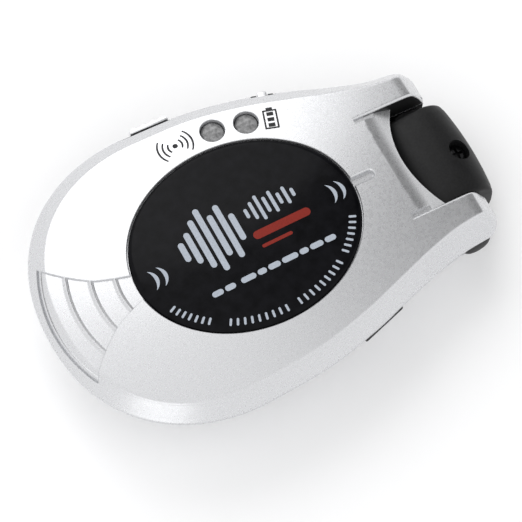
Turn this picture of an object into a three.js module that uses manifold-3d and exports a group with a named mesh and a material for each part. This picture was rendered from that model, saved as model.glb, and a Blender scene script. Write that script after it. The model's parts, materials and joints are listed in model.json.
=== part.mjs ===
// Plug-on wireless guitar unit: a pebble-shaped two-part housing with a fork at its nose. A black knuckle
// turns in the fork and carries a 6.35 mm jack plug, which folds into a channel under the housing.
// Millimetres, +Z up. The origin is at the middle of the outline, on the surface that the unit lies on.
// +X points to the knuckle, and +Y to the side with the power switch and the channel button.
import * as THREE from 'three';
import { mergeVertices } from 'three/addons/utils/BufferGeometryUtils.js';
import Module from 'manifold-3d';

const wasm = await Module();
wasm.setup();

// ---- driving dimensions ----
const TAIL_CENTRE_X = -12.8; // centre of the round tail
const TAIL_LENGTH = 26.8; // from that centre to the tail's end
const HALF_WIDTH = 26.5; // at the tail centre, the widest place
const TAIL_POWER = 2.2; // superellipse power of the tail's outline
const ARM_END_X = 36.7; // front end of the fork's arms
const ARM_HALF_WIDTH = 17.2; // across the outsides of both arms, halved
const CORNER_R = 3.5; // the arms' outer corners, seen from above
// Half width of the outline along the taper, from the widest place to the corners.
const TAPER = [
  [TAIL_CENTRE_X, HALF_WIDTH], [-1.3, 25.8], [8.7, 23.7], [16.7, 21.2], [23.7, 19], [29, 17.7],
  [ARM_END_X - CORNER_R, ARM_HALF_WIDTH],
];

const CROWN_Z = 19; // top of the housing
const CROWN_X = -3.2; // the crown and the label are centred here
const DOME_X = 0.0014; // how fast the top falls away lengthways, per mm
const DOME_Y = 0.0022; // and sideways
const RIM_INSET = 2; // the sloped rim round the top face, seen from above
const RIM_FOOT_Z = 15; // where the rim's slope ends in a short upright lip
const SEAM_Z = 14.4; // lower edge of the top shell
const DROOP = 3; // the rim and the seam fall by this much towards the ends of the arms
const DROOP_FROM_X = 12;
const GAP = 0.3; // clearance between touching pieces
const WALL = 1.8;

const HULL_LIP = 0.5; // the bottom shell is set back this far under the rim
const HULL_INSET = 9.5; // how far the hull draws in, from the seam to the flat base
const HULL_POWER = 1.4;
const HULL_FRONT_SHARE = 0.35; // the nose draws in by this share, which leaves room for the hinge pins
const ARM_SHARE = 0.45; // the arms' sides are steeper: the hull draws in there by this share
const STEEPENS = [4, 28]; // the sides steepen between these places along X

const HINGE_X = 32.4;
const HINGE_Z = 7.7;
const KNUCKLE_R = 7.6; // at its middle
const KNUCKLE_CROWN = 0.65; // how much smaller the radius is at its ends
const KNUCKLE_HALF = 9.2;
const KNUCKLE_CHAMFER = 0.5;
const FORK_HALF = 10.1; // half the gap between the arms
const SWING_CLEARANCE = 0.6; // between the knuckle and the saddle behind it
const SCREW_TILT = 0.96; // the knuckle screw's angle above +X, in radians
const SCREW_Y = -1.2; // the knuckle screw is set over to one side
const SCALLOP_X = 23.7; // where the top face starts to dip towards the knuckle
const SCALLOP_SLOPE = 0.72;

const PLUG_DROP = 3.1; // the plug's axis lies this far below the hinge axis
const PLUG_Z = HINGE_Z - PLUG_DROP;
const PLUG_R = 3.175; // quarter-inch jack plug
const PLUG_LENGTH = 30.8; // from the collar to the tip's end
const COLLAR_R = 4.1;
const COLLAR_X = [HINGE_X - 8.5, HINGE_X - 7.3];
const BOSS_R = 4.3;
const BOSS_END_X = COLLAR_X[1] + GAP;
const SHANK_R = 2.6;
const SHANK_END_X = HINGE_X - 2.3;
const CHANNEL_HALF = 5;
const CHANNEL_TOP_Z = 9.8;
const CHANNEL_END_X = -8.2;
const CHANNEL_WALL = 1.3;

const PIN_R = 1.75;
const PIN_BORE_R = 0.7;
const PIN_SPAN = [6.4, 12.2]; // along Y, from inside the knuckle to inside the arm
const RUNNING_CLEARANCE = 0.2;
const WASHER = { inner: 2.2, outer: 3.9, from: 8.3, to: 9.8 };
const CAP = { r: 2.7, shank: 1.75, from: 14.1, seat: 14.7, to: 16.6 };
const WIRE_Y = -13.15; // the plug's lead runs back along the arm here
const WIRE_R = 0.6;

const LABEL_A = 20.1; // half length and half width of the oval recess
const LABEL_B = 16.3;
const LABEL_DEPTH = 1;
const LED_R = 2;
const LED_PLACES = [{ name: 'audio', x: 0.8, y: 19.4 }, { name: 'battery', x: 6.5, y: 18.1 }];
const NOTCH = { from: 16.2, to: 20.8, half: 0.8, depth: 0.5 };

const BOARD_Z = [13.5, 14.3];
const BOARD_INSET = 4.6;
const BOARD_END_X = 20.6;
const CAVITY_END_X = 21.6;

const SCREW_PLACES = [[-29.7, 6.8], [-29.7, -6.8], [17, 9], [17, -9]];
const POST = { r: 2, pilot: 0.8, base: 6.2, top: 16.6 };
const SCREW = { head: 1.6, shank: 0.65, seat: 3, headHeight: 1.2, length: 8 };

const SWITCH = { x: -8.2, half: 4.6, z: [11, SEAM_Z], knob: [-10.9, -4], knobZ: [11.4, 14.1], stand: 0.9, ridges: 5 };
const BUTTON = { x: 12.1, half: 2.1, z: [11.4, SEAM_Z], capHalf: 1.4, stand: 0.7 };
const USB = { x: 10.3, half: 4.35, z: [10.4, SEAM_Z], shell: [7.6, 5.4, 2.5] };

const RING_TAIL_STEPS = 26; // points round the tail's outline
const TAPER_STEPS = 9;
const CORNER_STEPS = 4;

// ---- materials ----
const paint = (color, roughness, metalness) => new THREE.MeshStandardMaterial({ color, roughness, metalness });
const MATERIALS = {
  silver: paint(0xc9cbcf, 0.35, 0.35),
  black: paint(0x17181a, 0.5, 0),
  gloss: paint(0x08080a, 0.15, 0),
  lens: paint(0x9a9ca0, 0.25, 0),
  led: paint(0xe8e4d0, 0.4, 0),
  board: paint(0x16502e, 0.5, 0),
  chip: paint(0x1c1c1e, 0.5, 0),
  steel: paint(0xb8bcc2, 0.3, 1),
  nickel: paint(0xd2d2d0, 0.18, 1),
  ceramic: paint(0xe6e2d8, 0.6, 0),
  cell: paint(0xaeb4bc, 0.4, 0.4),
  foam: paint(0x2b2b2d, 0.9, 0),
  red: paint(0xa01f1a, 0.5, 0),
};

// ---- solids: three.js geometry in, manifold solid out ----
function solid(geometry) {
  const bare = geometry.clone();
  bare.deleteAttribute('normal');
  bare.deleteAttribute('uv');
  const merged = mergeVertices(bare, 1e-4);
  return new wasm.Manifold(new wasm.Mesh({
    numProp: 3,
    vertProperties: merged.attributes.position.array,
    triVerts: new Uint32Array(merged.index.array),
  }));
}

function geometryOf(made) {
  const { vertProperties, triVerts } = made.getMesh();
  const geometry = new THREE.BufferGeometry();
  geometry.setAttribute('position', new THREE.BufferAttribute(vertProperties, 3));
  geometry.setIndex(new THREE.BufferAttribute(triVerts, 1));
  return geometry;
}

function box([x0, x1], [y0, y1], [z0, z1]) {
  const geometry = new THREE.BoxGeometry(x1 - x0, y1 - y0, z1 - z0);
  return solid(geometry.translate((x0 + x1) / 2, (y0 + y1) / 2, (z0 + z1) / 2));
}

// A cylinder along one axis, from one coordinate to another on it, at the place given on the other two.
function rod(axis, [from, to], place, radius, segments = 24) {
  const geometry = new THREE.CylinderGeometry(radius, radius, to - from, segments);
  const middle = (from + to) / 2;
  if (axis === 'x') geometry.rotateZ(-Math.PI / 2).translate(middle, place[0], place[1]);
  if (axis === 'y') geometry.translate(place[0], middle, place[1]);
  if (axis === 'z') geometry.rotateX(Math.PI / 2).translate(place[0], place[1], middle);
  return solid(geometry);
}

// A closed body from rings of points, lowest ring first, each ring running anticlockwise seen from above.
function loft(rings) {
  const count = rings[0].length;
  const middleOf = (ring) => ring.reduce((sum, p) => sum.add(p), new THREE.Vector3()).divideScalar(count);
  const points = [...rings.flat(), middleOf(rings[0]), middleOf(rings.at(-1))];
  const [floor, roof] = [points.length - 2, points.length - 1];
  const faces = [];
  for (let i = 0; i < count; i++) {
    const next = (i + 1) % count;
    const top = (rings.length - 1) * count;
    faces.push(floor, next, i, roof, top + i, top + next);
    for (let level = 0; level < rings.length - 1; level++) {
      const [low, high] = [level * count, (level + 1) * count];
      faces.push(low + i, low + next, high + next, low + i, high + next, high + i);
    }
  }
  const geometry = new THREE.BufferGeometry().setFromPoints(points);
  return geometry.setIndex(faces);
}

// ---- the housing's outline and surfaces ----
const taperCurve = new THREE.CatmullRomCurve3(TAPER.map(([x, y]) => new THREE.Vector3(x, y, 0)), false, 'centripetal');

// Half width of the outline at x, on the taper.
function halfWidthAt(x) {
  let [low, high] = [0, 1];
  for (let i = 0; i < 30; i++) {
    const middle = (low + high) / 2;
    if (taperCurve.getPoint(middle).x < x) low = middle;
    else high = middle;
  }
  return taperCurve.getPoint(low).y;
}

// The outline from the middle of the nose, over the +Y side, to the tail's end.
function sideOfOutline() {
  const points = [];
  const cornerX = ARM_END_X - CORNER_R;
  const cornerY = TAPER.at(-1)[1] - CORNER_R;
  for (let i = 0; i <= CORNER_STEPS; i++) {
    const turn = (i / CORNER_STEPS) * (Math.PI / 2);
    points.push(new THREE.Vector2(cornerX + CORNER_R * Math.cos(turn), cornerY + CORNER_R * Math.sin(turn)));
  }
  for (let i = TAPER_STEPS - 1; i >= 1; i--) {
    const p = taperCurve.getPoint(i / TAPER_STEPS);
    points.push(new THREE.Vector2(p.x, p.y));
  }
  for (let i = 0; i < RING_TAIL_STEPS / 2; i++) {
    const turn = (i / (RING_TAIL_STEPS / 2)) * (Math.PI / 2);
    const across = Math.cos(turn) ** (2 / TAIL_POWER);
    const along = Math.sin(turn) ** (2 / TAIL_POWER);
    points.push(new THREE.Vector2(TAIL_CENTRE_X - TAIL_LENGTH * along, HALF_WIDTH * across));
  }
  return points;
}

const OUTLINE = (() => {
  const side = sideOfOutline();
  const mirrored = side.map((p) => new THREE.Vector2(p.x, -p.y)).reverse();
  return [...side, new THREE.Vector2(TAIL_CENTRE_X - TAIL_LENGTH, 0), ...mirrored];
})();

// A point of the outline drawn in by an inset. The nose draws in by frontShare of it.
function drawnIn(p, inset, frontShare = 1) {
  const ahead = p.x > TAIL_CENTRE_X;
  const x = TAIL_CENTRE_X + (p.x - TAIL_CENTRE_X) * (ahead
    ? 1 - (frontShare * inset) / (ARM_END_X - TAIL_CENTRE_X)
    : 1 - inset / TAIL_LENGTH);
  const width = ahead ? halfWidthAt(Math.min(p.x, TAPER.at(-1)[0])) : HALF_WIDTH;
  return new THREE.Vector2(x, p.y * (1 - inset / width));
}

const crownHeight = (x, y) => CROWN_Z - DOME_X * (x - CROWN_X) ** 2 - DOME_Y * y ** 2;
const droopAt = (x) => DROOP * THREE.MathUtils.smoothstep(x, DROOP_FROM_X, ARM_END_X);
const levelRing = (inset, z) => OUTLINE.map((p) => {
  const q = drawnIn(p, inset);
  return new THREE.Vector3(q.x, q.y, z - droopAt(q.x));
});

// A ring on the dome, drawn in by an inset and then scaled about the tail's centre, sunk by a depth.
const domeRing = (inset, share, depth) => OUTLINE.map((p) => {
  const q = drawnIn(p, inset);
  const [x, y] = [TAIL_CENTRE_X + (q.x - TAIL_CENTRE_X) * share, q.y * share];
  return new THREE.Vector3(x, y, crownHeight(x, y) - depth);
});

const topBody = () => solid(loft([
  levelRing(0, SEAM_Z),
  levelRing(0, RIM_FOOT_Z),
  domeRing(RIM_INSET - 0.3, 1, 0.35),
  domeRing(RIM_INSET + 0.2, 1, 0),
  ...[0.82, 0.62, 0.4, 0.18].map((share) => domeRing(RIM_INSET, share, 0)),
]));

const topHollow = () => solid(loft([
  levelRing(WALL + 0.2, SEAM_Z - 1),
  levelRing(WALL + 0.2, RIM_FOOT_Z - 0.4),
  domeRing(RIM_INSET + WALL, 1, WALL + 0.4),
  ...[0.7, 0.35].map((share) => domeRing(RIM_INSET + WALL, share, WALL + 0.1)),
]));

// How far the hull is drawn in at a height, at a place along X.
function hullInset(z, x = 0) {
  const fall = (SEAM_Z - Math.min(z, SEAM_Z)) / SEAM_Z;
  const share = THREE.MathUtils.lerp(1, ARM_SHARE, THREE.MathUtils.smoothstep(x, ...STEEPENS));
  return HULL_LIP + share * HULL_INSET * (1 - (1 - fall ** HULL_POWER) ** (1 / HULL_POWER));
}

// A ring of the hull, shaped as the hull is at one height and placed at another.
const hullRing = (shapeZ, z, thinner) => OUTLINE.map((p) => {
  const q = drawnIn(p, hullInset(shapeZ, p.x) + thinner, HULL_FRONT_SHARE);
  return new THREE.Vector3(q.x, q.y, z * (1 - droopAt(q.x) / SEAM_Z));
});

const HULL_HEIGHTS = [0, 0.5, 1.6, 3.6, 6.4, 9.4, 12.2, SEAM_Z - GAP];
const bottomBody = () => solid(loft(HULL_HEIGHTS.map((z) => hullRing(z, z, 0))));

const bottomHollow = () => solid(loft([
  hullRing(0.9, WALL, WALL),
  ...HULL_HEIGHTS.slice(3, -1).map((z) => hullRing(z, z, WALL)),
  hullRing(SEAM_Z, SEAM_Z + 1, WALL),
]));

// Place and direction of a feature in the side wall: group it at the outline point, +Y pointing outwards.
function atSide(x, side) {
  const step = 0.5;
  const slope = (halfWidthAt(x + step) - halfWidthAt(x - step)) / (2 * step);
  const group = new THREE.Group();
  group.position.set(x, side * halfWidthAt(x), 0);
  group.rotation.z = side > 0 ? Math.atan(slope) : Math.PI - Math.atan(slope);
  group.updateMatrixWorld(true);
  return group;
}

// A box in a side feature's own frame, as a solid in the housing's frame.
function boxAtSide(frame, xs, ys, zs) {
  return box(xs, ys, zs).transform(frame.matrixWorld.elements);
}

// ---- knuckle shape ----
function knuckleProfile(grow) {
  const half = KNUCKLE_HALF + grow;
  const points = [new THREE.Vector2(0, -half)];
  const radiusAt = (y) => KNUCKLE_R + grow - KNUCKLE_CROWN * (y / KNUCKLE_HALF) ** 2;
  points.push(new THREE.Vector2(radiusAt(half) - KNUCKLE_CHAMFER, -half));
  for (let i = -5; i <= 5; i++) {
    const y = (i / 5) * (half - KNUCKLE_CHAMFER);
    points.push(new THREE.Vector2(radiusAt(y), y));
  }
  points.push(new THREE.Vector2(radiusAt(half) - KNUCKLE_CHAMFER, half), new THREE.Vector2(0, half));
  return points;
}

const barrel = (grow, segments) =>
  solid(new THREE.LatheGeometry(knuckleProfile(grow), segments).translate(HINGE_X, 0, HINGE_Z));

// A half-space box on one side of the plane through the hinge axis that splits the knuckle.
function halfSpace(side) {
  const size = 40;
  const geometry = new THREE.BoxGeometry(size, size, size).translate(side * (size / 2 + GAP / 2), 0, 0);
  return solid(geometry.rotateY(-SCREW_TILT).translate(HINGE_X, 0, HINGE_Z));
}

// A cylinder along the knuckle screw's own direction, from one distance off the hinge axis to another.
function tiltedRod([from, to], radius, segments = 20) {
  const geometry = new THREE.CylinderGeometry(radius, radius, to - from, segments);
  geometry.rotateZ(-Math.PI / 2).translate((from + to) / 2, 0, 0);
  return solid(geometry.rotateY(-SCREW_TILT).translate(HINGE_X, SCREW_Y, HINGE_Z));
}

// ---- the pieces ----
const root = new THREE.Group();

function add(name, made, material, parent = root) {
  const geometry = made instanceof THREE.BufferGeometry ? made : geometryOf(made);
  const mesh = new THREE.Mesh(geometry, MATERIALS[material]);
  mesh.name = name;
  parent.add(mesh);
  return mesh;
}

// What both shells lose at the nose: the knuckle's room, and the open space under and ahead of it.
function noseCuts() {
  const front = [HINGE_X - 6.5, 60];
  const fork = [-FORK_HALF, FORK_HALF];
  const ahead = box([HINGE_X, 60], fork, [-5, 30]);
  const under = box(front, fork, [-5, HINGE_Z]);
  return barrel(SWING_CLEARANCE, 48).add(ahead).add(under);
}

// The dip in the top face between the arms, falling towards the knuckle.
function scallop() {
  const startZ = crownHeight(SCALLOP_X, 0) + 0.2;
  const side = new THREE.Shape();
  side.moveTo(SCALLOP_X, startZ);
  side.lineTo(SCALLOP_X + 12, startZ - 12 * SCALLOP_SLOPE);
  side.lineTo(60, startZ - 12 * SCALLOP_SLOPE);
  side.lineTo(60, 40);
  side.lineTo(SCALLOP_X, 40);
  side.closePath();
  const geometry = new THREE.ExtrudeGeometry(side, { depth: 2 * FORK_HALF, bevelEnabled: false });
  return solid(geometry.rotateX(Math.PI / 2).translate(0, FORK_HALF, 0));
}

function ellipseRing(a, b, z, steps = 56) {
  return new THREE.EllipseCurve(CROWN_X, 0, a, b).getPoints(steps).slice(0, steps)
    .map((p) => new THREE.Vector3(p.x, p.y, typeof z === 'function' ? z(p.x, p.y) : z));
}

function topShell() {
  let made = topBody();
  const room = topHollow().intersect(box([-60, CAVITY_END_X], [-60, 60], [0, 40]));
  made = made.subtract(room);
  const posts = SCREW_PLACES.map(([x, y]) => rod('z', [POST.base, POST.top], [x, y], POST.r, 20));
  posts.forEach((post) => { made = made.add(post); });
  SCREW_PLACES.forEach((place) => {
    made = made.subtract(rod('z', [POST.base - 1, 12], place, POST.pilot, 12));
  });
  const floorZ = crownHeight(CROWN_X + LABEL_A, 0) - LABEL_DEPTH;
  made = made.subtract(solid(loft([
    ellipseRing(LABEL_A, LABEL_B, floorZ), ellipseRing(LABEL_A, LABEL_B, CROWN_Z + 2),
  ])));
  LED_PLACES.forEach(({ x, y }) => {
    made = made.subtract(rod('z', [10, 30], [x, y], LED_R + GAP / 2, 28));
  });
  const notchZ = crownHeight(NOTCH.to, 0) - NOTCH.depth;
  made = made.subtract(box([NOTCH.from, NOTCH.to], [-NOTCH.half, NOTCH.half], [notchZ, 30]));
  add('top_shell', made.subtract(scallop()).subtract(noseCuts()), 'silver');
}

function bottomShell(openings) {
  const hull = bottomBody();
  const behindNose = box([-60, CAVITY_END_X], [-60, 60], [-1, 40]);
  let made = hull.subtract(bottomHollow().intersect(behindNose));
  const channelBlock = box(
    [CHANNEL_END_X - CHANNEL_WALL, 40],
    [-CHANNEL_HALF - CHANNEL_WALL, CHANNEL_HALF + CHANNEL_WALL],
    [0, CHANNEL_TOP_Z + CHANNEL_WALL],
  );
  made = made.add(channelBlock.intersect(hull));
  SCREW_PLACES.forEach(([x, y]) => {
    made = made.add(rod('z', [0.01, POST.base - GAP], [x, y], POST.r + 0.6, 20).intersect(hull));
    made = made.subtract(rod('z', [-1, SCREW.seat], [x, y], SCREW.head + 0.25, 20));
    made = made.subtract(rod('z', [0, 6], [x, y], SCREW.shank + 0.3, 16));
  });
  const channel = box([CHANNEL_END_X + 3, 60], [-CHANNEL_HALF, CHANNEL_HALF], [-5, CHANNEL_TOP_Z]);
  const channelEnd = rod('z', [-5, CHANNEL_TOP_Z], [CHANNEL_END_X + CHANNEL_HALF, 0], CHANNEL_HALF, 28);
  made = made.subtract(channel.add(channelEnd)).subtract(noseCuts());
  for (const side of [-1, 1]) {
    const [near, far] = side > 0 ? [8, 13.6] : [-13.8, -8];
    made = made.subtract(rod('y', [near, far], [HINGE_X, HINGE_Z], PIN_R + 0.15));
    const [seatNear, seatFar] = side > 0 ? [CAP.seat - 0.3, 30] : [-30, 0.3 - CAP.seat];
    made = made.subtract(rod('y', [seatNear, seatFar], [HINGE_X, HINGE_Z], CAP.r + 0.3, 28));
    const [shankNear, shankFar] = side > 0 ? [12, 16] : [-16, -12];
    made = made.subtract(rod('y', [shankNear, shankFar], [HINGE_X, HINGE_Z], CAP.shank + 0.15));
  }
  const leadChannel = box([18, HINGE_X], [WIRE_Y - 0.9, WIRE_Y + 0.9], [HINGE_Z - 0.9, HINGE_Z + 0.9]);
  made = made.subtract(leadChannel);
  openings.forEach((opening) => { made = made.subtract(opening); });
  add('bottom_shell', made, 'silver');
}

function labelPlate() {
  const edge = LABEL_A - 0.25;
  const side = LABEL_B - 0.25;
  const floorZ = crownHeight(CROWN_X + LABEL_A, 0) - LABEL_DEPTH + 0.05;
  const dome = (sink) => (x, y) => crownHeight(x, y) - sink;
  add('label_plate', loft([
    ellipseRing(edge, side, floorZ),
    ellipseRing(edge, side, dome(0.3)),
    ellipseRing(edge - 0.5, side - 0.5, dome(0.05)),
    ...[0.75, 0.5, 0.25].map((share) => ellipseRing(edge * share, side * share, dome(0))),
  ]), 'gloss');
}

function lightPipes() {
  LED_PLACES.forEach(({ name, x, y }) => {
    const top = crownHeight(x, y) - 0.35;
    const profile = [[0, 15.1], [LED_R + 0.45, 15.1], [LED_R + 0.45, 15.4], [LED_R - 0.15, 15.4],
      [LED_R - 0.15, top - 0.25], [LED_R - 0.6, top - 0.05], [0, top]];
    const lathe = new THREE.LatheGeometry(profile.map(([r, z]) => new THREE.Vector2(r, z)), 24);
    const pipe = add(`${name}_light_pipe`, lathe.rotateX(Math.PI / 2), 'lens');
    pipe.position.set(x, y, 0);
    const led = add(`${name}_led`, new THREE.BoxGeometry(1.6, 0.8, 0.3), 'led');
    led.position.set(x, y, BOARD_Z[1] + GAP + 0.15);
  });
}

function circuitBoard() {
  const ring = (z) => OUTLINE.map((p) => {
    const q = drawnIn(p, BOARD_INSET);
    return new THREE.Vector3(q.x, q.y, z);
  });
  let made = solid(loft([ring(BOARD_Z[0]), ring(BOARD_Z[1])]));
  made = made.intersect(box([-60, BOARD_END_X], [-60, 60], [0, 40]));
  SCREW_PLACES.forEach((place) => {
    made = made.subtract(rod('z', [10, 20], place, POST.r + 0.5, 20));
  });
  add('circuit_board', made, 'board');
}

// Plain blocks on the board: [name, material, x, y, length, width, height], above or below it.
function boardParts() {
  const above = [
    ['radio_shield', 'steel', 8, -6, 12, 11, 1.5],
    ['controller_chip', 'chip', -12, -6, 7, 7, 0.9],
    ['audio_converter_chip', 'chip', -12, 7, 5, 6.4, 1],
    ['chip_antenna', 'ceramic', -32, 0, 2, 8, 0.8],
    ['crystal', 'steel', -4, -3, 3.2, 2.5, 0.8],
  ];
  above.forEach(([name, material, x, y, length, width, height]) => {
    const mesh = add(name, new THREE.BoxGeometry(length, width, height), material);
    mesh.position.set(x, y, BOARD_Z[1] + GAP + height / 2);
  });
  const charger = add('charger_chip', new THREE.BoxGeometry(3, 3, 0.9), 'chip');
  charger.position.set(8.4, -12.6, BOARD_Z[0] - GAP - 0.45);
}

function powerSwitch() {
  const wallY = halfWidthAt(SWITCH.x) - hullInset(12.5);
  const [bodyTop, bodyHeight] = [BOARD_Z[0] - GAP, 2.4];
  const body = add('switch_body', new THREE.BoxGeometry(8, 2.8, bodyHeight), 'steel');
  body.position.set(SWITCH.x, wallY - WALL - 2.4, bodyTop - bodyHeight / 2);
  const [knobStart, knobEnd] = SWITCH.knob;
  const outside = halfWidthAt(SWITCH.x) + SWITCH.stand;
  let knob = box([knobStart, knobEnd], [wallY - 1.2, outside - 0.3], SWITCH.knobZ);
  const pitch = (knobEnd - knobStart) / SWITCH.ridges;
  for (let i = 0; i < SWITCH.ridges; i++) {
    const x = knobStart + (i + 0.5) * pitch;
    knob = knob.add(box([x - 0.4, x + 0.4], [outside - 0.5, outside], SWITCH.knobZ));
  }
  const stemX = (knobStart + knobEnd) / 2;
  knob = knob.add(box([stemX - 0.8, stemX + 0.8], [wallY - WALL - 0.7, wallY - 1], [11.8, 12.8]));
  add('switch_knob', knob, 'silver');
  return box([SWITCH.x - SWITCH.half, SWITCH.x + SWITCH.half], [wallY - WALL - 2, 40], [SWITCH.z[0], 20]);
}

function channelButton() {
  const frame = atSide(BUTTON.x, 1);
  const inside = -hullInset(BUTTON.z[0], BUTTON.x) - WALL - GAP;
  const half = BUTTON.capHalf;
  const zs = [BUTTON.z[0] + 0.3, SEAM_Z - GAP];
  const cap = box([-half, half], [inside - 0.4, BUTTON.stand], zs)
    .add(box([-half - 0.9, half + 0.9], [inside - 0.8, inside - 0.1], [zs[0], BOARD_Z[0] - GAP]));
  add('channel_button', cap, 'silver', frame);
  const body = add('tact_switch', new THREE.BoxGeometry(4.4, 2.2, 1.9), 'chip', frame);
  body.position.set(0, inside - 2.8, BOARD_Z[0] - GAP - 0.95);
  root.add(frame);
  return boxAtSide(frame, [-BUTTON.half, BUTTON.half], [inside, 8], [BUTTON.z[0], 20]);
}

function usbSocket() {
  const frame = atSide(USB.x, -1);
  const [width, depth, height] = USB.shell;
  const mouth = -hullInset(12.4, USB.x) - 1.2;
  const z0 = BOARD_Z[0] - GAP - height;
  const can = box([-width / 2, width / 2], [mouth - depth, mouth], [z0, z0 + height])
    .subtract(box([-width / 2 + 0.4, width / 2 - 0.4], [mouth - depth + 0.6, mouth + 1],
      [z0 + 0.35, z0 + height - 0.35]));
  add('usb_socket', can, 'steel', frame);
  const tongue = add('usb_tongue', new THREE.BoxGeometry(4, 3.6, 0.5), 'chip', frame);
  tongue.position.set(0, mouth - depth + 0.9 + 1.8, z0 + height / 2);
  root.add(frame);
  return boxAtSide(frame, [-USB.half, USB.half], [-4.5, 8], USB.z);
}

function battery() {
  const cell = add('battery_cell', new THREE.BoxGeometry(15, 24, 5.2), 'cell');
  cell.position.set(-18.7, 0, 6);
  const pad = add('battery_pad', new THREE.BoxGeometry(11, 16, 1), 'foam');
  pad.position.set(-18.7, 0, 2.6);
  ['positive', 'negative'].forEach((pole, i) => {
    const y = 3 - 6 * i;
    const path = new THREE.CatmullRomCurve3([
      new THREE.Vector3(-10.45, y, 5), new THREE.Vector3(-10.45, y, 9), new THREE.Vector3(-10.9, y, 11.2),
      new THREE.Vector3(-12.4, y, 13),
    ]);
    add(`battery_lead_${pole}`, wire(path, 0.4, 12), i ? 'chip' : 'red');
  });
}

function wire(path, radius, steps) {
  const section = new THREE.Shape();
  section.absarc(0, 0, radius, 0, 2 * Math.PI);
  return new THREE.ExtrudeGeometry(section, { extrudePath: path, steps, curveSegments: 8 });
}

function plugLead() {
  const path = new THREE.CatmullRomCurve3([
    new THREE.Vector3(HINGE_X - 0.8, WIRE_Y, HINGE_Z), new THREE.Vector3(27, WIRE_Y, HINGE_Z),
    new THREE.Vector3(22, WIRE_Y, HINGE_Z), new THREE.Vector3(19.6, WIRE_Y, 9.6),
    new THREE.Vector3(18.4, WIRE_Y, 11.4), new THREE.Vector3(17.6, WIRE_Y, 13.1),
  ]);
  add('plug_lead', wire(path, WIRE_R, 18), 'chip');
}

function knuckle() {
  const whole = barrel(0, 48);
  const washerPocket = (side) => {
    const span = side > 0 ? [WASHER.from - GAP, 20] : [-20, GAP - WASHER.from];
    return rod('y', span, [HINGE_X, HINGE_Z], WASHER.outer + 0.3, 28);
  };
  const pinBore = (side) => {
    const span = side > 0 ? [PIN_SPAN[0] - GAP, 20] : [-20, GAP - PIN_SPAN[0]];
    return rod('y', span, [HINGE_X, HINGE_Z], PIN_R + RUNNING_CLEARANCE);
  };
  const boss = rod('x', [BOSS_END_X, HINGE_X - 1], [0, PLUG_Z], BOSS_R, 32);
  const shankBore = rod('x', [10, SHANK_END_X + GAP], [0, PLUG_Z], SHANK_R + GAP);
  const hollows = [washerPocket(1), washerPocket(-1), pinBore(1), pinBore(-1)];
  let base = whole.intersect(halfSpace(-1)).add(boss);
  base = base.subtract(halfSpace(1).subtract(boss)).subtract(shankBore);
  base = base.subtract(rod('x', [COLLAR_X[0] - GAP, BOSS_END_X], [0, PLUG_Z], COLLAR_R + GAP, 32));
  base = base.subtract(tiltedRod([-2.1, 1], 0.95));
  let cover = whole.subtract(boss.add(rod('x', [20, HINGE_X - 1 + GAP], [0, PLUG_Z], BOSS_R + GAP, 32)));
  cover = cover.intersect(halfSpace(1)).subtract(tiltedRod([4.6, 12], 2)).subtract(tiltedRod([-3, 6], 0.95));
  hollows.forEach((hollow) => {
    base = base.subtract(hollow);
    cover = cover.subtract(hollow);
  });
  add('knuckle_base', base, 'black');
  add('knuckle_cover', cover, 'black');
  const cross = [[0.35, 1.1], [1.1, 0.35]].map(([a, b]) => {
    const geometry = new THREE.BoxGeometry(1, 2 * a, 2 * b).translate(6.1, 0, 0);
    return solid(geometry.rotateY(-SCREW_TILT).translate(HINGE_X, SCREW_Y, HINGE_Z));
  });
  const screw = tiltedRod([4.9, 6], 1.6).add(tiltedRod([-1.8, 5], 0.75)).subtract(cross[0]).subtract(cross[1]);
  add('knuckle_screw', screw, 'steel');
}

function lathedAlongX(profile, segments) {
  const points = profile.map(([x, r]) => new THREE.Vector2(r, x));
  const geometry = new THREE.LatheGeometry(points, segments);
  return geometry.rotateZ(-Math.PI / 2).translate(0, 0, PLUG_Z);
}

function jackPlug() {
  const shoulder = COLLAR_X[0];
  const end = shoulder - PLUG_LENGTH;
  const ringStart = end + 9.2;
  const sleeveStart = ringStart + 1.2 + GAP;
  add('plug_sleeve', lathedAlongX([[sleeveStart, 0], [sleeveStart, PLUG_R], [shoulder + 0.01, PLUG_R],
    [shoulder + 0.01, COLLAR_R], [COLLAR_X[1], COLLAR_R], [COLLAR_X[1], SHANK_R], [SHANK_END_X, SHANK_R],
    [SHANK_END_X, 0]], 32), 'nickel');
  add('plug_insulator', lathedAlongX([[ringStart + GAP / 2, 0], [ringStart + GAP / 2, 2.95],
    [sleeveStart - GAP, 2.95], [sleeveStart - GAP, 0]], 28), 'black');
  add('plug_tip', lathedAlongX([[end, 0], [end + 0.2, 0.9], [end + 1.2, 1.75], [end + 4.4, PLUG_R - 0.15],
    [end + 5.2, PLUG_R - 0.2], [end + 6.6, 2.15], [end + 7.6, 2.15], [end + 8.2, PLUG_R],
    [ringStart - GAP / 2, PLUG_R], [ringStart - GAP / 2, 0]], 32), 'nickel');
}

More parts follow.
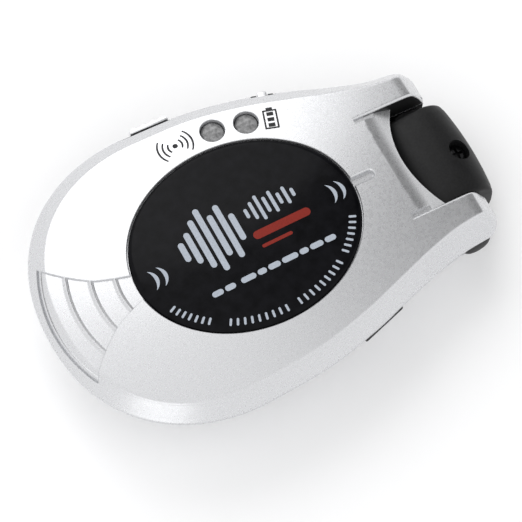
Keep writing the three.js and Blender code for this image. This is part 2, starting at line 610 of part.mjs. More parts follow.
function hingeParts() {
  ['left', 'right'].forEach((word, i) => {
    const side = i ? -1 : 1;
    const span = ([from, to]) => (side > 0 ? [from, to] : [-to, -from]);
    const at = [HINGE_X, HINGE_Z];
    const pin = rod('y', span(PIN_SPAN), at, PIN_R).subtract(rod('y', [-20, 20], at, PIN_BORE_R, 12));
    add(`hinge_pin_${word}`, pin, 'steel');
    const washer = rod('y', span([WASHER.from, WASHER.to]), at, WASHER.outer, 28);
    add(`friction_washer_${word}`, washer.subtract(rod('y', [-20, 20], at, WASHER.inner)), 'steel');
    const profile = [[CAP.from, 0], [CAP.from, CAP.shank], [CAP.seat, CAP.shank], [CAP.seat, CAP.r],
      [CAP.to - 0.8, CAP.r], [CAP.to - 0.15, CAP.r - 0.8], [CAP.to, 0]];
    const lathe = new THREE.LatheGeometry(profile.map(([y, r]) => new THREE.Vector2(r, y)), 28);
    if (side < 0) lathe.rotateX(Math.PI);
    add(`hinge_cap_${word}`, lathe, 'black').position.set(HINGE_X, 0, HINGE_Z);
  });
}

function caseScrews() {
  SCREW_PLACES.forEach(([x, y], i) => {
    const headFrom = SCREW.seat - GAP - SCREW.headHeight;
    const recess = box([-1, 1], [-0.25, 0.25], [-1, headFrom + 0.6])
      .add(box([-0.25, 0.25], [-1, 1], [-1, headFrom + 0.6]));
    const made = rod('z', [headFrom, SCREW.seat - GAP], [0, 0], SCREW.head, 20)
      .add(rod('z', [headFrom + 0.5, headFrom + SCREW.length], [0, 0], SCREW.shank - 0.1, 14)).subtract(recess);
    add(`case_screw_${i + 1}`, made, 'steel').position.set(x, y, 0);
  });
}

const openings = [powerSwitch(), channelButton(), usbSocket()];
topShell();
bottomShell(openings);
labelPlate();
lightPipes();
circuitBoard();
boardParts();
battery();
plugLead();
knuckle();
jackPlug();
hingeParts();
caseScrews();

export default root;
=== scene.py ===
"""Plug-on wireless guitar unit: a satin silver housing with an oval gloss label and a sunk fan on its tail.

A black knuckle turns in the fork at the nose and carries a quarter-inch jack plug, which folds away under
the housing. +X points to the knuckle, +Y to the side with the power switch and the channel button, +Z up.
"""

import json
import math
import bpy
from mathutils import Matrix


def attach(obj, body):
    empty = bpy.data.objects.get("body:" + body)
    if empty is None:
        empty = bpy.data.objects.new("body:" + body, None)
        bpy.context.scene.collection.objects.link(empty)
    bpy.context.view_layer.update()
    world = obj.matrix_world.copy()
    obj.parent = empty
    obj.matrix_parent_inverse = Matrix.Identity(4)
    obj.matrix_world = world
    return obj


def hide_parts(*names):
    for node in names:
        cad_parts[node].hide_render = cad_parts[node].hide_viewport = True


bl_info = {
    "name": "Plug-on Wireless Guitar Unit",
    "version": (1, 0, 0),
    "blender": (4, 5, 0),
    "location": "3D View > Sidebar > Guitar Unit",
    "description": "Builds the wireless guitar unit piece by piece around its packed frame",
    "category": "Object",
}

import bpy
from bpy.props import FloatProperty, FloatVectorProperty, IntProperty, PointerProperty
from mathutils import Matrix, Vector

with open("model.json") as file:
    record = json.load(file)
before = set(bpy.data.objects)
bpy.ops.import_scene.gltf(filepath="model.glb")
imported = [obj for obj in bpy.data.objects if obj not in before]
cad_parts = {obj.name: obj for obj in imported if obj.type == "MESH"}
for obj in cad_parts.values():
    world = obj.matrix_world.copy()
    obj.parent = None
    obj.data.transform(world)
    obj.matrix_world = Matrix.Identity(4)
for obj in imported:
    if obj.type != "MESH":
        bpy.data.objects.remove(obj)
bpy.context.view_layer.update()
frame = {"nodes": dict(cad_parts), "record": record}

MM = 0.001

# ---- the housing's outline, in millimetres ----
TAIL_CENTRE_X = -12.8
TAIL_LENGTH = 26.8
HALF_WIDTH = 26.5
TAIL_POWER = 2.2
ARM_END_X = 36.7
ARM_HALF_WIDTH = 17.2
CORNER_R = 3.5
TAPER = [
    (TAIL_CENTRE_X, HALF_WIDTH), (-1.3, 25.8), (8.7, 23.7), (16.7, 21.2), (23.7, 19.0), (29.0, 17.7),
    (ARM_END_X - CORNER_R, ARM_HALF_WIDTH),
]

# ---- the top face ----
CROWN_X = -3.2
DOME_X = 0.0014
DOME_Y = 0.0022
RIM_FOOT_Z = 15.0
SEAM_Z = 14.4
DROOP = 3.0
DROOP_FROM_X = 12.0
RIM_WIDTH = 3.0
CREASE_INSET = 2.35
CREASE_SHARE = 0.84
ROLL_FROM_X = 32.4
ROLL_TO_X = 37.4
ROLL_DEPTH = 4.6
RIM_INSETS = (0, 0.04, 0.12, 0.6, 1.1, 1.6, 2.1, 2.3, 2.37, 2.44, 2.54, 2.68, 2.84, RIM_WIDTH)

# ---- the hull ----
HULL_LIP = 0.38
HULL_INSET = 9.5
HULL_POWER = 1.4
HULL_FRONT_SHARE = 0.35
ARM_SHARE = 0.45
STEEPENS = (4.0, 28.0)
GAP = 0.3
WALL = 1.8
CAVITY_END_X = 20.4
SOCKET_X = 10.3
SOCKET_SWELL = 0.28
POST_PLACES = [(-29.7, 6.8), (-29.7, -6.8), (17.0, 9.0), (17.0, -9.0)]
POST_R = 2.0
POST_BASE_Z = 6.2
POST_TOP_Z = 16.6

# ---- the fork, the knuckle and the plug ----
HINGE_X = 32.4
HINGE_Z = 7.7
FORK_HALF = 10.1
SADDLE_R = 10.7
SADDLE_CROWN = 2.6
SCALLOP_X = 24.5
SCALLOP_SLOPE = 0.6
SCALLOP_SOFT = 0.8
SCALLOP_CORNER = 1.3
KNUCKLE_HALF = 9.0
KNUCKLE_Y = -0.6
KNUCKLE_POWER = 2.5
SPLIT_TILT = 0.96
SCREW_TILT = math.radians(72)
SCREW_PLACE = (HINGE_X + 4.36, -1.7, HINGE_Z + 6.78)
PLUG_Z = HINGE_Z - 3.1
PLUG_R = 3.175
SHOULDER_X = HINGE_X - 8.5
COLLAR_END_X = HINGE_X - 7.3
CHANNEL_HALF = 5.0
CHANNEL_TOP_Z = 9.8
CHANNEL_END_X = -8.2

# ---- the label, the lights and the fan ----
LED_PLACES = {"audio": (0.8, 19.4), "battery": (6.5, 18.1)}
FAN_CENTRE_X = -13.05
FAN_EDGE = [
    (9.0, 12.2), (11.5, 13.1), (16.2, 15.4), (20.3, 19.85), (24.2, 23.9), (25.8, 26.4), (26.6, 27.6),
]
FAN_RIBS = (13.0, 17.0, 21.0)
FAN_RIB_HALF = 0.5
FAN_RIM_RIB = 25.05
FAN_RIM_RIB_HALF = 0.36
FAN_END_R = 25.5
FAN_DEPTH = 0.42
NOTCH_HALF = 0.7
NOTCH_DEPTH = 0.9
SWITCH_X = -8.2
BUTTON_X = 12.1

# ---- the stage, in metres ----
KEY_PLACE = (0.06, 0.38, 0.46)
KEY_TARGET = (-0.01, 0.0, 0.0)
SIDE_PLACE = (-0.45, -0.45, 0.30)
SIDE_SHARE = 0.35
SKY_DIM_WAY = (0.66, 0.25, 0.71)
SKY_DIM_RANGE = (0.81, 0.975)


# ---- settings that a user would change ----
def length(name, description, millimetres):
    return FloatProperty(
        name=name, description=description, default=millimetres * MM, unit="LENGTH", precision=5)


def colour(name, description, value):
    return FloatVectorProperty(
        name=name, description=description, default=value, subtype="COLOR", min=0, max=1)


class GuitarUnitSizes(bpy.types.PropertyGroup):
    crown_z: length("Crown height", "Top of the housing above the surface it lies on", 19.0)
    label_length: length("Label half length", "Half of the oval label, along the unit", 20.0)
    label_width: length("Label half width", "Half of the oval label, across the unit", 16.45)
    label_sink: length("Label sink", "How far the label lies below the housing's surface", 0.06)
    light_radius: length("Light radius", "Radius of each indicator's hole", 2.12)
    rib_height: length("Rib height", "Height of the ribs in the tail's fan", 0.3)
    knuckle_radius: length("Knuckle radius", "Radius of the knuckle at its middle", 7.6)
    knuckle_crown: length("Knuckle crown", "How much thinner the knuckle is at its ends", 0.65)
    knob_stand: length("Switch stand-out", "How far the switch knob stands out of the side", 1.35)
    outline_steps: IntProperty(
        name="Outline steps", description="Points along each side of the housing",
        default=260, min=60, max=400)


class GuitarUnitFinishes(bpy.types.PropertyGroup):
    silver: colour("Silver paint", "Satin paint of the housing", (0.62, 0.625, 0.64))
    black: colour("Black plastic", "Knuckle and hinge caps", (0.009, 0.009, 0.0095))
    label: colour("Label", "Gloss ground of the oval label", (0.004, 0.004, 0.005))
    mark: colour("Pale print", "Light marks printed on the label", (0.40, 0.44, 0.50))
    accent: colour("Red print", "Accent printed on the label", (0.21, 0.014, 0.007))
    ink: colour("Dark print", "Symbols printed on the housing", (0.02, 0.02, 0.022))
    lens: colour("Lens", "Frosted indicator lenses", (0.20, 0.20, 0.203))
    nickel: colour("Nickel", "Plating of the jack plug", (0.76, 0.75, 0.72))


class GuitarUnitStage(bpy.types.PropertyGroup):
    floor: colour("Floor", "Pale floor", (0.97, 0.97, 0.975))
    sky: FloatProperty(name="Sky", description="Strength of the light from all round", default=1.1, min=0)
    key: FloatProperty(name="Key light", description="Power of the large soft light", default=0.8, min=0)
    lens: FloatProperty(
        name="Lens", description="Focal length of the camera, in millimetres", default=168.3, min=20)


def sizes():
    return bpy.context.scene.guitar_unit_sizes


def finishes():
    return bpy.context.scene.guitar_unit_finishes


# ---- making meshes ----
def deselect_all():
    if bpy.context.object and bpy.context.object.mode != "OBJECT":
        bpy.ops.object.mode_set(mode="OBJECT")
    bpy.ops.object.select_all(action="DESELECT")


def pick(piece):
    deselect_all()
    piece.select_set(True)
    bpy.context.view_layer.objects.active = piece


def new_mesh(name, vertices, faces, edges=()):
    """A mesh object from vertices in millimetres."""
    mesh = bpy.data.meshes.new(name)
    mesh.from_pydata([Vector(v) * MM for v in vertices], edges, faces)
    mesh.validate()
    piece = bpy.data.objects.new(name, mesh)
    bpy.context.scene.collection.objects.link(piece)
    return piece


def modify(piece, kind, **settings):
    """Adds a modifier, sets it and applies it."""
    pick(piece)
    modifier = piece.modifiers.new(kind.lower(), kind)
    for key, value in settings.items():
        setattr(modifier, key, value)
    bpy.ops.object.modifier_apply(modifier=modifier.name)
    return piece


def combine(piece, others, operation):
    for other in others:
        modify(piece, "BOOLEAN", operation=operation, object=other, solver="MANIFOLD")
        bpy.data.objects.remove(other)
    return piece


def cut(piece, *cutters):
    return combine(piece, cutters, "DIFFERENCE")


def fuse(piece, *others):
    return combine(piece, others, "UNION")


def keep_inside(piece, *others):
    return combine(piece, others, "INTERSECT")


def loft(name, rings):
    """A closed body from rings of points, lowest ring first, each anticlockwise seen from above."""
    count = len(rings[0])
    vertices = [point for ring in rings for point in ring]
    for ring in (rings[0], rings[-1]):
        vertices.append(sum((Vector(point) for point in ring), Vector()) / count)
    floor, roof = len(vertices) - 2, len(vertices) - 1
    top = (len(rings) - 1) * count
    faces = []
    for i in range(count):
        following = (i + 1) % count
        faces.append((floor, following, i))
        faces.append((roof, top + i, top + following))
        for low in range(0, top, count):
            high = low + count
            faces.append((low + i, low + following, high + following, high + i))
    return new_mesh(name, vertices, faces)


def block(name, xs, ys, zs, turn=None):
    """A box between two places on each axis, set over by a matrix in millimetres."""
    bpy.ops.mesh.primitive_cube_add(size=1)
    piece = bpy.context.object
    piece.name = name
    middle = Vector(((xs[0] + xs[1]) / 2, (ys[0] + ys[1]) / 2, (zs[0] + zs[1]) / 2))
    scale = Matrix.Diagonal((xs[1] - xs[0], ys[1] - ys[0], zs[1] - zs[0], 1))
    settle(piece, (turn or Matrix()) @ Matrix.Translation(middle) @ scale)
    return piece


def settle(piece, matrix):
    """Moves a mesh made at unit size by a matrix in millimetres, and leaves the object at the origin."""
    piece.matrix_world = Matrix.Identity(4)
    piece.data.transform(Matrix.Scale(MM, 4) @ matrix)
    piece.data.update()


AXES = {
    "x": Matrix.Rotation(math.radians(90), 4, "Y"),
    "y": Matrix.Rotation(math.radians(-90), 4, "X"),
    "z": Matrix.Identity(4),
}


def rod(name, axis, span, place, radius, vertices=48, turn=None):
    """A cylinder along one axis between two places on it, at a place given on the other two."""
    bpy.ops.mesh.primitive_cylinder_add(vertices=vertices, radius=1, depth=1)
    piece = bpy.context.object
    piece.name = name
    middle = sum(span) / 2
    centre = {"x": (middle, *place), "y": (place[0], middle, place[1]), "z": (*place, middle)}[axis]
    scale = Matrix.Diagonal((radius, radius, span[1] - span[0], 1))
    settle(piece, (turn or Matrix()) @ Matrix.Translation(centre) @ AXES[axis] @ scale)
    return piece


def lathe(name, profile, steps, turn):
    """Spins a profile of (along, radius) pairs round the X axis, and sets it over by a matrix."""
    points = [(along, 0, radius) for along, radius in profile]
    piece = new_mesh(name, points, [], [(i, i + 1) for i in range(len(points) - 1)])
    pick(piece)
    bpy.ops.object.mode_set(mode="EDIT")
    bpy.ops.mesh.select_all(action="SELECT")
    bpy.ops.mesh.spin(steps=steps, angle=math.tau, center=(0, 0, 0), axis=(1, 0, 0))
    bpy.ops.mesh.select_all(action="SELECT")
    bpy.ops.mesh.remove_doubles(threshold=0.002 * MM)
    bpy.ops.mesh.normals_make_consistent(inside=False)
    bpy.ops.object.mode_set(mode="OBJECT")
    piece.data.transform(scaled_in_mm(turn))
    return piece


def scaled_in_mm(matrix):
    """The matrix, given in millimetres, for a mesh that already holds metres."""
    return Matrix.Scale(MM, 4) @ matrix @ Matrix.Scale(1 / MM, 4)


def prism(name, outline, bottom, top, rounding=0.0, segments=3, turn=None):
    """A flat outline extruded upwards, with its upper and lower edges rounded."""
    piece = new_mesh(name, [(x, y, bottom) for x, y in outline], [range(len(outline))])
    pick(piece)
    bpy.ops.object.mode_set(mode="EDIT")
    bpy.ops.mesh.select_all(action="SELECT")
    bpy.ops.mesh.extrude_region_move(TRANSFORM_OT_translate={"value": (0, 0, (top - bottom) * MM)})
    bpy.ops.mesh.select_all(action="SELECT")
    bpy.ops.mesh.normals_make_consistent(inside=False)
    bpy.ops.object.mode_set(mode="OBJECT")
    if rounding:
        level = [abs(e_z(piece, edge)) for edge in piece.data.edges]
        round_edges(piece, [i for i, rise in enumerate(level) if rise < 1e-7], rounding, segments)
    if turn:
        piece.data.transform(scaled_in_mm(turn))
    return piece


def e_z(piece, edge):
    """How much an edge rises from one end to the other."""
    first, second = (piece.data.vertices[i].co.z for i in edge.vertices)
    return second - first


def round_edges(piece, indices, radius, segments):
    """Bevels the edges with these indices."""
    pick(piece)
    for polygon in piece.data.polygons:
        polygon.select = False
    for vertex in piece.data.vertices:
        vertex.select = False
    for edge in piece.data.edges:
        edge.select = False
    for i in indices:
        piece.data.edges[i].select = True
    bpy.ops.object.mode_set(mode="EDIT")
    bpy.ops.mesh.select_mode(type="EDGE")
    bpy.ops.mesh.bevel(offset=radius * MM, segments=segments, affect="EDGES", clamp_overlap=True)
    bpy.ops.object.mode_set(mode="OBJECT")


def height_cutter(name, grid, top=26.0):
    """Everything above a sheet of points: rows of (x, y, z), all rows the same length."""
    columns = len(grid[0])
    lower = [point for row in grid for point in row]
    upper = [(x, y, top) for x, y, _ in lower]
    offset = len(lower)
    faces = []
    for i in range(len(grid) - 1):
        for j in range(columns - 1):
            a, b = i * columns + j, (i + 1) * columns + j
            faces.append((a, a + 1, b + 1, b))
            faces.append((offset + a, offset + b, offset + b + 1, offset + a + 1))
    last = (len(grid) - 1) * columns
    border = list(range(columns)) + [r * columns + columns - 1 for r in range(1, len(grid))]
    border += list(range(last + columns - 2, last - 1, -1))
    border += [r * columns for r in range(len(grid) - 2, 0, -1)]
    for a, b in zip(border, border[1:] + border[:1]):
        faces.append((a, offset + a, offset + b, b))
    piece = new_mesh(name, lower + upper, faces)
    turn_outwards(piece)
    return piece


def turn_outwards(piece):
    pick(piece)
    bpy.ops.object.mode_set(mode="EDIT")
    bpy.ops.mesh.select_all(action="SELECT")
    bpy.ops.mesh.normals_make_consistent(inside=False)
    bpy.ops.object.mode_set(mode="OBJECT")


def pocket_cutter(name, outline, floor, surface, flare):
    """A pocket with upright walls, whose mouth opens out by a small flare at the surface's height."""
    count = len(outline)
    normals = []
    for i, (x, y) in enumerate(outline):
        before, after = Vector(outline[i - 1]), Vector(outline[(i + 1) % count])
        along = (after - before).normalized()
        normals.append(Vector((along.y, -along.x)))
    def ring(spread, height):
        moved = [Vector(p) + n * spread for p, n in zip(outline, normals)]
        return [(x, y, height(x, y)) for x, y in moved]
    return loft(name, [
        ring(0, floor),
        ring(0, lambda x, y: surface(x, y) - flare * 1.4),
        ring(flare * 0.3, lambda x, y: surface(x, y) - flare * 0.6),
        ring(flare, lambda x, y: surface(x, y) + 0.003),
        ring(flare * 4, lambda x, y: surface(x, y) + 1.5),
    ])


def edge_cutter(name, edge, radius, steps=5):
    """Rounds an edge. Each item is (point, way along the face, way down the wall), ways into the material."""
    arc = []
    for i in range(steps + 1):
        t = math.radians(90) * i / steps
        arc.append((radius * (1 - math.sin(t)), radius * (1 - math.cos(t))))
    section = arc + [(-1.5 * radius, radius), (-1.5 * radius, -1.5 * radius), (radius, -1.5 * radius)]
    rings = [[point + face * a + wall * b for a, b in section] for point, face, wall in edge]
    count = len(section)
    vertices = [p for ring in rings for p in ring]
    faces = [tuple(range(count)), tuple(range(len(vertices) - 1, len(vertices) - count - 1, -1))]
    for low in range(0, len(vertices) - count, count):
        for i in range(count):
            following = (i + 1) % count
            faces.append((low + i, low + following, low + count + following, low + count + i))
    piece = new_mesh(name, vertices, faces)
    modify(piece, "TRIANGULATE")
    turn_outwards(piece)
    return piece


def finish_piece(piece, body, slot, material, *nodes, angle=32):
    """Names where the finished piece rides, what it stands for and its finish."""
    pick(piece)
    bpy.ops.object.shade_smooth_by_angle(angle=math.radians(angle))
    piece.data.materials.clear()
    piece.data.materials.append(material)
    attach(piece, body)
    if nodes:
        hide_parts(*nodes)
    deselect_all()
    return piece


def paint_recess_shade(piece):
    """Gives the hollow that the knuckle turns in, and the arms' inner walls, the knuckle's black plastic as
    painted shade: the black stands in for the shadow that falls in these recesses.
    """
    piece.data.materials.append(black_plastic())
    for polygon in piece.data.polygons:
        x, y, z = polygon.center / MM
        reach = math.hypot(x - HINGE_X, z - HINGE_Z)
        wall = abs(abs(y) - FORK_HALF) < 0.03 and x > SCALLOP_X and abs(polygon.normal.y) > 0.9
        hollow = abs(y) < FORK_HALF and x < HINGE_X + 1 and abs(reach - saddle_radius(y)) < 0.12
        if wall or hollow:
            polygon.material_index = 1


# ---- the housing's surfaces ----
def ease(value, low, high):
    t = min(max((value - low) / (high - low), 0.0), 1.0)
    return t * t * (3 - 2 * t)


def blend(a, b, share):
    return a + (b - a) * share


def follow(table, value):
    """Straight-line reading of a table of (value, result) pairs."""
    for (v0, r0), (v1, r1) in zip(table, table[1:]):
        if value <= v1:
            break
    return blend(r0, r1, (value - v0) / (v1 - v0))


def taper_path(steps=40):
    """The taper's points joined by one smooth centripetal curve."""
    knots = [Vector(p) for p in TAPER]
    knots = [2 * knots[0] - knots[1]] + knots + [2 * knots[-1] - knots[-2]]
    path = []
    for a, b, c, d in zip(knots, knots[1:], knots[2:], knots[3:]):
        before, here, after = ((q - p).length ** 0.5 for p, q in ((a, b), (b, c), (c, d)))
        start = ((b - a) / before - (c - a) / (before + here) + (c - b) / here) * here
        end = ((c - b) / here - (d - b) / (here + after) + (d - c) / after) * here
        for i in range(steps):
            t = i / steps
            path.append(b + start * t + (3 * (c - b) - 2 * start - end) * t * t
                        + (2 * (b - c) + start + end) * t ** 3)
    return path + [knots[-2]]


TAPER_PATH = taper_path()
TAPER_TABLE = [(p.x, p.y) for p in TAPER_PATH]


def half_width_at(x):
    return follow(TAPER_TABLE, min(max(x, TAIL_CENTRE_X), TAPER[-1][0]))


def side_path():
    """The outline from the middle of the nose, over the +Y side, to the tail's end."""
    corner = Vector((ARM_END_X - CORNER_R, ARM_HALF_WIDTH - CORNER_R))
    path = [Vector((ARM_END_X, 0))]
    for i in range(17):
        t = math.radians(90) * i / 16
        path.append(corner + CORNER_R * Vector((math.cos(t), math.sin(t))))
    path += TAPER_PATH[-2:0:-1]
    for i in range(181):
        t = math.radians(90) * i / 180
        across, along = math.cos(t) ** (2 / TAIL_POWER), math.sin(t) ** (2 / TAIL_POWER)
        path.append(Vector((TAIL_CENTRE_X - TAIL_LENGTH * along, HALF_WIDTH * across)))
    path[-1].y = 0
    return path


def outline(steps):
    """The closed outline as (point, outward normal) pairs, anticlockwise, with even spacing."""
    path = side_path()
    reach = [0.0]
    for a, b in zip(path, path[1:]):
        reach.append(reach[-1] + (b - a).length)
    side = []
    k = 0
    for i in range(steps + 1):
        goal = reach[-1] * i / steps
        while k < len(path) - 2 and reach[k + 1] < goal:
            k += 1
        share = (goal - reach[k]) / (reach[k + 1] - reach[k])
        side.append(path[k].lerp(path[k + 1], min(share, 1.0)))
    points = side + [Vector((p.x, -p.y)) for p in side[-2:0:-1]]
    result = []
    for i, point in enumerate(points):
        along = (points[(i + 1) % len(points)] - points[i - 1]).normalized()
        result.append((point, Vector((along.y, -along.x))))
    return result


def crown_height(x, y):
    return sizes().crown_z / MM - DOME_X * (x - CROWN_X) ** 2 - DOME_Y * y ** 2


def droop_at(x):
    return DROOP * ease(x, DROOP_FROM_X, ARM_END_X)


def top_height(x, y):
    """The top face, with the front ends of the arms rolled down."""
    t = min(max((x - ROLL_FROM_X) / (ROLL_TO_X - ROLL_FROM_X), 0.0), 0.98)
    return crown_height(x, y) - ROLL_DEPTH * (1 - math.sqrt(1 - t * t))


def rim_height(inset, x, y, softness):
    """The rim: a sloped band that ends in a small crisp step, or a plain round-over where it is soft."""
    if inset <= CREASE_INSET:
        crisp = CREASE_SHARE * inset / CREASE_INSET
    else:
        rest = (inset - CREASE_INSET) / (RIM_WIDTH - CREASE_INSET)
        crisp = CREASE_SHARE + (1 - CREASE_SHARE) * (1 - (1 - min(rest, 1)) ** 2.2)
    soft = math.sin(math.radians(90) * min(inset / RIM_WIDTH, 1)) ** 0.85
    foot = RIM_FOOT_Z - droop_at(x) - 0.1 * max(1 - inset / 0.12, 0) ** 2
    return blend(foot, top_height(x, y), blend(crisp, soft, softness))


def tail_height(x, y):
    """The finished surface anywhere on the round tail."""
    along, across = TAIL_CENTRE_X - x, abs(y)
    reach = math.hypot(along, across)
    level = (along / TAIL_LENGTH) ** TAIL_POWER + (across / HALF_WIDTH) ** TAIL_POWER
    edge = reach / level ** (1 / TAIL_POWER)
    inset = edge - reach
    return rim_height(max(inset, 0), x, y, 0) if inset < RIM_WIDTH else top_height(x, y)


def front_height(x, y):
    """The finished surface on the arms, up to the front edge."""
    inset = ARM_END_X - x
    return rim_height(max(inset, 0), x, y, 1) if inset < RIM_WIDTH else top_height(x, y)


def oval(a, b, steps, centre=(CROWN_X, 0)):
    return [(centre[0] + a * math.cos(math.tau * i / steps), centre[1] + b * math.sin(math.tau * i / steps))
            for i in range(steps)]


def upper_body():
    """The top shell's outside as one closed body."""
    edge = outline(sizes().outline_steps)
    a, b = sizes().label_length / MM * 0.96, sizes().label_width / MM * 0.96
    seam = [(p.x, p.y) for p, _ in edge]
    rings = []
    for share in (0.15, 0.35, 0.55, 0.72, 0.85, 0.94, 0.985, 1):
        scaled = [(CROWN_X + (x - CROWN_X) * share, y * share) for x, y in seam]
        rings.append([(x, y, SEAM_Z - droop_at(x)) for x, y in scaled])
    for inset in RIM_INSETS:
        ring = []
        for point, normal in edge:
            x, y = point - normal * inset
            ring.append((x, y, rim_height(inset, x, y, ease(normal.x, 0.3, 0.7))))
        rings.append(ring)
    outer = [Vector((x, y)) for x, y, _ in rings[-1]]
    inner = []
    for point in outer:
        turn = math.atan2(point.y / b, (point.x - CROWN_X) / a)
        inner.append(Vector((CROWN_X + a * math.cos(turn), b * math.sin(turn))))
    steps = 36
    for i in range(1, steps + 1):
        ring = [p.lerp(q, i / steps) for p, q in zip(outer, inner)]
        rings.append([(x, y, top_height(x, y)) for x, y in ring])
    for share in (0.7, 0.3):
        ring = [(CROWN_X + (p.x - CROWN_X) * share, p.y * share) for p in inner]
        rings.append([(x, y, top_height(x, y)) for x, y in ring])
    return loft("upper_housing", rings)


def drawn_in(point, inset, front_share=1.0):
    """An outline point drawn in by an inset. The nose draws in by its own share."""
    ahead = point.x > TAIL_CENTRE_X
    reach = ARM_END_X - TAIL_CENTRE_X if ahead else TAIL_LENGTH
    x = TAIL_CENTRE_X + (point.x - TAIL_CENTRE_X) * (1 - (front_share if ahead else 1) * inset / reach)
    width = half_width_at(point.x) if ahead else HALF_WIDTH
    return Vector((x, point.y * (1 - inset / width)))


def upper_cavity():
    """The room inside the top shell, which stops short of the fork."""
    edge = [point for point, _ in outline(60)]
    rings = []
    levels = ((2, 1, 12.2), (2, 1, 14.6), (3.8, 1, -2.2), (3.8, 0.7, -1.9), (3.8, 0.35, -1.9))
    for inset, share, rise in levels:
        ring = []
        for point in edge:
            p = drawn_in(point, inset)
            x, y = TAIL_CENTRE_X + (p.x - TAIL_CENTRE_X) * share, p.y * share
            x = min(x, CAVITY_END_X)
            ring.append((x, y, rise - droop_at(x) if rise > 0 else crown_height(x, y) + rise))
        rings.append(ring)
    return loft("upper_cavity", rings)


def fan_half_angle(radius):
    return math.radians(follow(FAN_EDGE, radius))


def rib_rise(radius, middle, half):
    """A rounded rib's height over the fan's floor."""
    off = min(abs(radius - middle) / half, 1)
    return sizes().rib_height / MM * (1 + math.cos(math.pi * off)) / 2


def fan_cutter():
    """The sunk fan on the tail, its ribs left standing, with both long edges slightly broken."""
    floor_flank = ((-0.05, FAN_DEPTH), (0.03, 0.1), (0.15, -0.02), (0.7, -0.5))
    grid = []
    steps = 170
    ribs = [(middle, FAN_RIB_HALF) for middle in FAN_RIBS] + [(FAN_RIM_RIB, FAN_RIM_RIB_HALF)]
    for i in range(steps + 1):
        r = blend(9.6, FAN_END_R + 0.5, i / steps)
        half = fan_half_angle(r)
        rise = max(rib_rise(r, middle, rib_half) for middle, rib_half in ribs)
        floor = FAN_DEPTH - rise
        floor = min(floor, follow(floor_flank, r - FAN_END_R) if r > FAN_END_R - 0.05 else FAN_DEPTH)
        row = []
        flanks = [0.7, 0.3, 0.15, 0.09, 0.03, -0.01, -0.05]
        inner = [s / 24 for s in range(-24, 25)]
        columns = [(-1, c) for c in flanks] + [(s, None) for s in inner]
        columns += [(1, c) for c in reversed(flanks)]
        for s, out in columns:
            if out is None:
                angle, depth = s * (half - 0.08 / r), floor
            else:
                angle, depth = s * (half + out / r), min(floor, follow(floor_flank, out))
            x, y = FAN_CENTRE_X - r * math.cos(angle), r * math.sin(angle)
            row.append((x, y, tail_height(x, y) - depth))
        grid.append(row)
    return height_cutter("fan_cutter", grid)


def dip_plane(x, y=0.0):
    """The slope that falls from the top face towards the knuckle. Its start has round corners."""
    over = max(abs(y) - (FORK_HALF - SCALLOP_CORNER), 0)
    fillet = SCALLOP_CORNER - math.sqrt(max(SCALLOP_CORNER ** 2 - over ** 2, 0))
    share = 1 - ease(x, SCALLOP_X + 0.2, SCALLOP_X + 2.2)
    return crown_height(SCALLOP_X, 0) + 0.2 - SCALLOP_SLOPE * (x - SCALLOP_X) + fillet * share


def scallop_cutter():
    """The soft-edged dip before the knuckle, and all the room between the arms ahead of the hinge."""
    xs = [SCALLOP_X - 2.2 + 0.25 * i for i in range(44)]
    xs = [x for x in xs if x < HINGE_X - 0.2] + [HINGE_X, HINGE_X + 0.01, 48]
    grid = []
    for x in xs:
        row = []
        for j in range(41):
            y = blend(-FORK_HALF, FORK_HALF, j / 40)
            above, slope = top_height(x, y) + 0.03, dip_plane(x, y)
            nearness = max(SCALLOP_SOFT - abs(above - slope), 0) / SCALLOP_SOFT
            z = min(above, slope) - nearness ** 2 * SCALLOP_SOFT / 4
            row.append((x, y, z if x <= HINGE_X else -6.0))
        grid.append(row)
    return height_cutter("scallop_cutter", grid)


def barrel_profile(radius, crown, half, corner):
    """Half lengths and radii of a crowned barrel with round corners, from end to end."""
    profile = [(-half, 0.0)]
    end = radius - crown
    for i in range(7):
        t = math.radians(90) * i / 6
        profile.append((-half + corner * (1 - math.cos(t)), end - corner * (1 - math.sin(t))))
    for i in range(1, 24):
        along = blend(-half + corner, half - corner, i / 24)
        profile.append((along, radius - crown * (along / half) ** 2))
    return profile + [(-along, r) for along, r in reversed(profile[:8])]


def at_hinge(extra=None):
    """Turns the X axis of a lathed piece to the hinge axis, at the hinge."""
    turn = Matrix.Rotation(math.radians(90), 4, "Z")
    return Matrix.Translation((HINGE_X, 0, HINGE_Z)) @ (extra or Matrix()) @ turn


def saddle_radius(y):
    return SADDLE_R - SADDLE_CROWN * (y / KNUCKLE_HALF) ** 2


def saddle_cutter():
    """The hollow that the knuckle turns in. It stands further off the knuckle at its middle."""
    profile = [(-FORK_HALF, 0.0)]
    for i in range(33):
        y = blend(-FORK_HALF, FORK_HALF, i / 32)
        profile.append((y, saddle_radius(y)))
    return lathe("saddle_cutter", profile + [(FORK_HALF, 0.0)], 96, at_hinge())


def saddle_edge():
    """Where the dip meets the saddle's hollow, with the ways along the dip and down the hollow."""
    edge = []
    for i in range(41):
        y = blend(-FORK_HALF, FORK_HALF, i / 40)
        low, high = SCALLOP_X, HINGE_X - 1
        for _ in range(40):
            x = (low + high) / 2
            if math.hypot(x - HINGE_X, dip_plane(x, y) - HINGE_Z) > saddle_radius(y):
                low = x
            else:
                high = x
        z = dip_plane(x, y)
        face = Vector((-1, 0, SCALLOP_SLOPE)).normalized()
        outwards = Vector((x - HINGE_X, 0, z - HINGE_Z)).normalized()
        edge.append((Vector((x, y, z)), face, Vector((-outwards.z, 0, outwards.x)).normalized()))
    return edge


